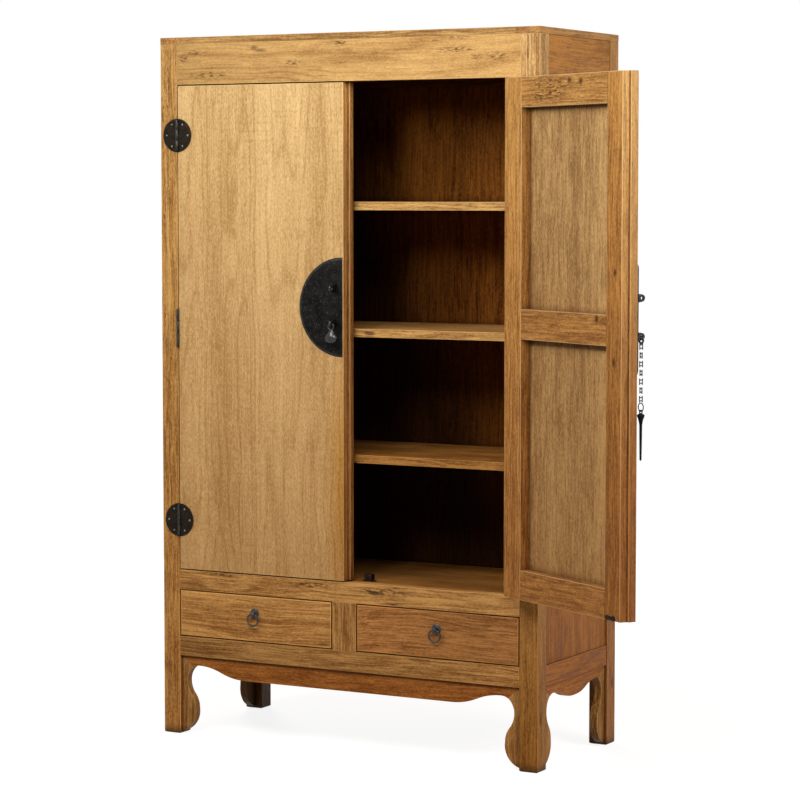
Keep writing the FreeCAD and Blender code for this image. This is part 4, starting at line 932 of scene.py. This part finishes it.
# %% Turned shapes
X, Y, Z = Vector((1, 0, 0)), Vector((0, 1, 0)), Vector((0, 0, 1))
MM = 0.001


def closed(bm):
    """Merges the seams and turns all faces outwards."""
    bmesh.ops.remove_doubles(bm, verts=bm.verts, dist=1e-6)
    bmesh.ops.recalc_face_normals(bm, faces=bm.faces)
    return bm


def turned(profile, middle, axis, steps=24):
    """A round shape from its profile of radius and place along the axis."""
    bm = bmesh.new()
    across = axis.orthogonal().normalized()
    line = [bm.verts.new(middle + across * radius + axis * along) for radius, along in profile]
    edges = [bm.edges.new(pair) for pair in zip(line, line[1:])]
    bmesh.ops.spin(bm, geom=line + edges, cent=middle, axis=axis, angle=math.tau, steps=steps, use_merge=True)
    return closed(bm)


def joined(parts):
    whole = bmesh.new()
    for part in parts:
        mesh = bpy.data.meshes.new("part")
        part.to_mesh(mesh)
        part.free()
        whole.from_mesh(mesh)
        bpy.data.meshes.remove(mesh)
    return whole


print("turned shapes ready")

# %% [markdown]
# ## Round iron: bent wire
#
# Rings and links were bent from wire, so each is a small circle led round its path.
# A ring is one full turn, and a long link is two half turns joined by straight wires.

# %% Bent wire
def section(bm, middle, across, axis, wire, sides):
    """A small circle of wire, square to the path, as the first shape of a new mesh."""
    along = across.cross(axis)
    turn = Matrix((across, axis, along)).transposed().to_4x4()
    bmesh.ops.create_circle(bm, segments=sides, radius=wire, matrix=Matrix.Translation(middle) @ turn)
    return bm.verts[:] + bm.edges[:]


def wire_ring(middle, axis, radius, wire, steps=36, sides=12):
    bm = bmesh.new()
    across = axis.orthogonal().normalized()
    start = section(bm, middle + across * radius, across, axis, wire, sides)
    bmesh.ops.spin(bm, geom=start, cent=middle, axis=axis, angle=math.tau, steps=steps, use_merge=True)
    return closed(bm)


def wire_link(middle, across, straight, bend, wire, steps=10, sides=10):
    bm = bmesh.new()
    axis = across.cross(Z)
    ends = section(bm, middle + across * bend + Z * straight, across, axis, wire, sides)
    for end in (1, -1):
        half = bmesh.ops.spin(bm, geom=ends, cent=middle + Z * straight * end, axis=-axis, angle=math.pi,
                              steps=steps)
        last = [g for g in half["geom_last"] if isinstance(g, bmesh.types.BMEdge)]
        grown = bmesh.ops.extrude_edge_only(bm, edges=last)["geom"]
        ends = [g for g in grown if not isinstance(g, bmesh.types.BMFace)]
        bmesh.ops.translate(bm, verts=[g for g in ends if isinstance(g, bmesh.types.BMVert)],
                            vec=Z * (-2 * straight * end))
    return closed(bm)


print("bent wire ready")

# %% [markdown]
# ## Nails
#
# The hinge leaves are held by nails with small round heads, rubbed bright where the doors are wiped.
# Each head is a low dome on the front of the leaf, and a square shank is hidden in the timber.
# A rivet of the same kind shows on the left lock plate, between its lugs.

# %% Hinge nails
HEAD_HEIGHT = 0.0014
DOME = [(0.0, 0.0), (0.0028, 0.0), (0.0026, 0.0005), (0.0019, 0.0011), (0.0009, 0.00137), (0.0, HEAD_HEIGHT)]
RIVET = [(0.0, 0.0), (0.0026, 0.0), (0.0023, 0.0007), (0.0014, 0.0013), (0.0, 0.0015)]
RIVET_SEAT = Vector((-0.046, -0.2385, 1.167))
HEAD_STEPS = 16


def nail_set(node, body, still=Matrix()):
    heads = []
    shape = whole_faces(node)
    for nail in boards_of(shape):
        places = [still @ v.co for v in nail]
        low = [min(p[i] for p in places) for i in range(3)]
        high = [max(p[i] for p in places) for i in range(3)]
        seat = Vector(((low[0] + high[0]) / 2, low[1] + HEAD_HEIGHT, (low[2] + high[2]) / 2))
        heads.append(turned(DOME, seat, -Y, HEAD_STEPS))
    shape.free()
    bm = joined(heads)
    bm.transform(still.inverted())
    piece(f"{node}_heads", bm, [rubbed_iron], body, [node])
    print(node, len(heads))


nail_set("post_hinge_nails", "carcass")
nail_set("left_door_hinge_nails", "left_door")
nail_set("right_door_hinge_nails", "right_door", CLOSED)
piece("left_plate_rivet", turned(RIVET, RIVET_SEAT, -Y, HEAD_STEPS), [rim_iron], "left_door")

# %% [markdown]
# ## The drop pull of the left door
#
# A small ring goes through the lower lug, and a flat pear of iron hangs from it.
# The pear is turned first and then hammered flat, so it is spun round and pressed to less than half its depth.

# %% Drop pull
LUG = Vector((-0.022, -0.262, 1.140))
JUMP_RADIUS, JUMP_WIRE = 0.008, 0.0025
PEAR_TOP = 1.12525
PEAR_RADIUS, PEAR_LENGTH = 0.018, 0.036
FLATTENED = 0.42
PEAR = [(0.0, 0.0), (0.22, 0.0), (0.27, 0.05), (0.36, 0.15), (0.55, 0.29), (0.74, 0.40), (0.89, 0.50), (0.985, 0.60),
        (1.0, 0.66), (0.985, 0.74), (0.93, 0.81), (0.83, 0.88), (0.68, 0.94), (0.5, 0.975), (0.3, 1.0), (0.0, 1.0)]

outline = [(PEAR_RADIUS * r, -PEAR_LENGTH * a) for r, a in PEAR]
pear = turned(outline, Vector((LUG.x, LUG.y, PEAR_TOP)), Z, 32)
for vert in pear.verts:
    vert.co.y = LUG.y + (vert.co.y - LUG.y) * FLATTENED
hanger = wire_ring(LUG - JUMP_RADIUS * Z, Y, JUMP_RADIUS, JUMP_WIRE)
piece("left_door_pull_iron", joined([hanger, pear]), [glossy_iron], "left_pull", ["left_door_pull"])
print("drop pull", PEAR_LENGTH, "m long")

# %% [markdown]
# ## The chain of the right door
#
# A pin on a chain goes through the eyes of both upper lugs and locks the doors together.
# The chain hangs from the lower lug of the right door: a jump ring, long links that alternate, and an end ring.
# It is made where it hangs with the door shut, and then swings open with the door.

# %% Chain
HANG = Vector((0.024, -0.262, 1.140))
LINKS = 7
FIRST_LINK, LINK_STEP = 1.11615, 0.021
LINK_STRAIGHT, LINK_BEND, LINK_WIRE = 0.00775, 0.0042, 0.0013
END_RING, END_RADIUS, END_WIRE = 0.9708, 0.0101, 0.00135

links = [wire_ring(HANG - JUMP_RADIUS * Z, Y, JUMP_RADIUS, JUMP_WIRE)]
for count in range(LINKS):
    middle = Vector((HANG.x, HANG.y, FIRST_LINK - LINK_STEP * count))
    links.append(wire_link(middle, Y if count % 2 == 0 else X, LINK_STRAIGHT, LINK_BEND, LINK_WIRE))
links.append(wire_ring(Vector((HANG.x, HANG.y, END_RING)), Y, END_RADIUS, END_WIRE))
chain = joined(links)
chain.transform(OPENED)
piece("lock_chain_iron", chain, [glossy_iron], "chain", ["lock_chain"])
print("links", LINKS)

# %% [markdown]
# ## The lock pin
#
# The pin has an eye at its top, a domed head, a neck and a long shank with a blunt point.
# It hangs in the end ring of the chain, and it swings open with the door in the same way.

# %% Pin
CROWN, PIN_EYE = 0.9556, 0.9596
EYE_RADIUS, EYE_WIRE = 0.004, 0.0015
PIN = [(0.0, 0.0), (4.0, 0.0), (6.4, -1.0), (8.5, -2.8), (9.5, -5.0), (9.0, -6.8), (7.2, -11.0), (5.4, -17.0),
       (4.3, -23.0), (3.6, -28.0), (3.2, -70.0), (2.6, -111.8), (1.2, -113.0), (0.0, -113.0)]

shank = turned([(MM * r, MM * a) for r, a in PIN], Vector((HANG.x, HANG.y, CROWN)), Z)
pin = joined([shank, wire_ring(Vector((HANG.x, HANG.y, PIN_EYE)), X, EYE_RADIUS, EYE_WIRE, 24, 10)])
pin.transform(OPENED)
piece("lock_pin_iron", pin, [slate_iron], "pin", ["lock_pin"])
print("pin", -PIN[-1][1], "mm long")

# %% [markdown]
# ## The drawer pulls
#
# A rosette sits on each drawer front, a neck stands out of it and carries a ball, and a ring goes through the ball.
# The ball is spun about the axis of its own hole, so the hole comes out clean.

# %% Drawer pulls and rings
PULL_X, PULL_Z = 0.27825, 0.351
BALL_Y = -0.246
BALL, HOLE = 7.0, 3.5
BALL_STEPS = 12
RING_MIDDLE, RING_RADIUS, RING_WIRE = 0.3345, 0.0165, 0.002
ROSETTE = [(0.0, 0.0), (13.0, 0.0), (13.0, 1.0), (12.4, 1.4), (8.0, 3.0), (5.0, 3.2), (3.7, 3.8), (3.5, 4.4),
           (3.5, 6.0), (0.0, 6.0)]

reach = math.sqrt(BALL ** 2 - HOLE ** 2)
rim_angle = math.asin(HOLE / BALL)
bead = [(HOLE, -reach)]
for step in range(1, BALL_STEPS + 1):
    angle = rim_angle + (math.pi - 2 * rim_angle) * step / BALL_STEPS
    bead.append((BALL * math.sin(angle), -BALL * math.cos(angle)))
bead.append((HOLE, -reach))

for side, sign in (("left", -1), ("right", 1)):
    across = PULL_X * sign
    base = turned([(MM * r, MM * a) for r, a in ROSETTE], Vector((across, FACE, PULL_Z)), -Y, 32)
    ball = turned([(MM * r, MM * a) for r, a in bead], Vector((across, BALL_Y, PULL_Z)), X)
    piece(f"{side}_drawer_pull_iron", joined([base, ball]), [ring_iron], f"{side}_drawer",
          [f"{side}_drawer_pull"])
    ring = wire_ring(Vector((across, BALL_Y, RING_MIDDLE)), Y, RING_RADIUS, RING_WIRE, 40)
    piece(f"{side}_drawer_ring_iron", ring, [ring_iron], f"{side}_ring", [f"{side}_drawer_ring"])
print("drawer pulls", 2)
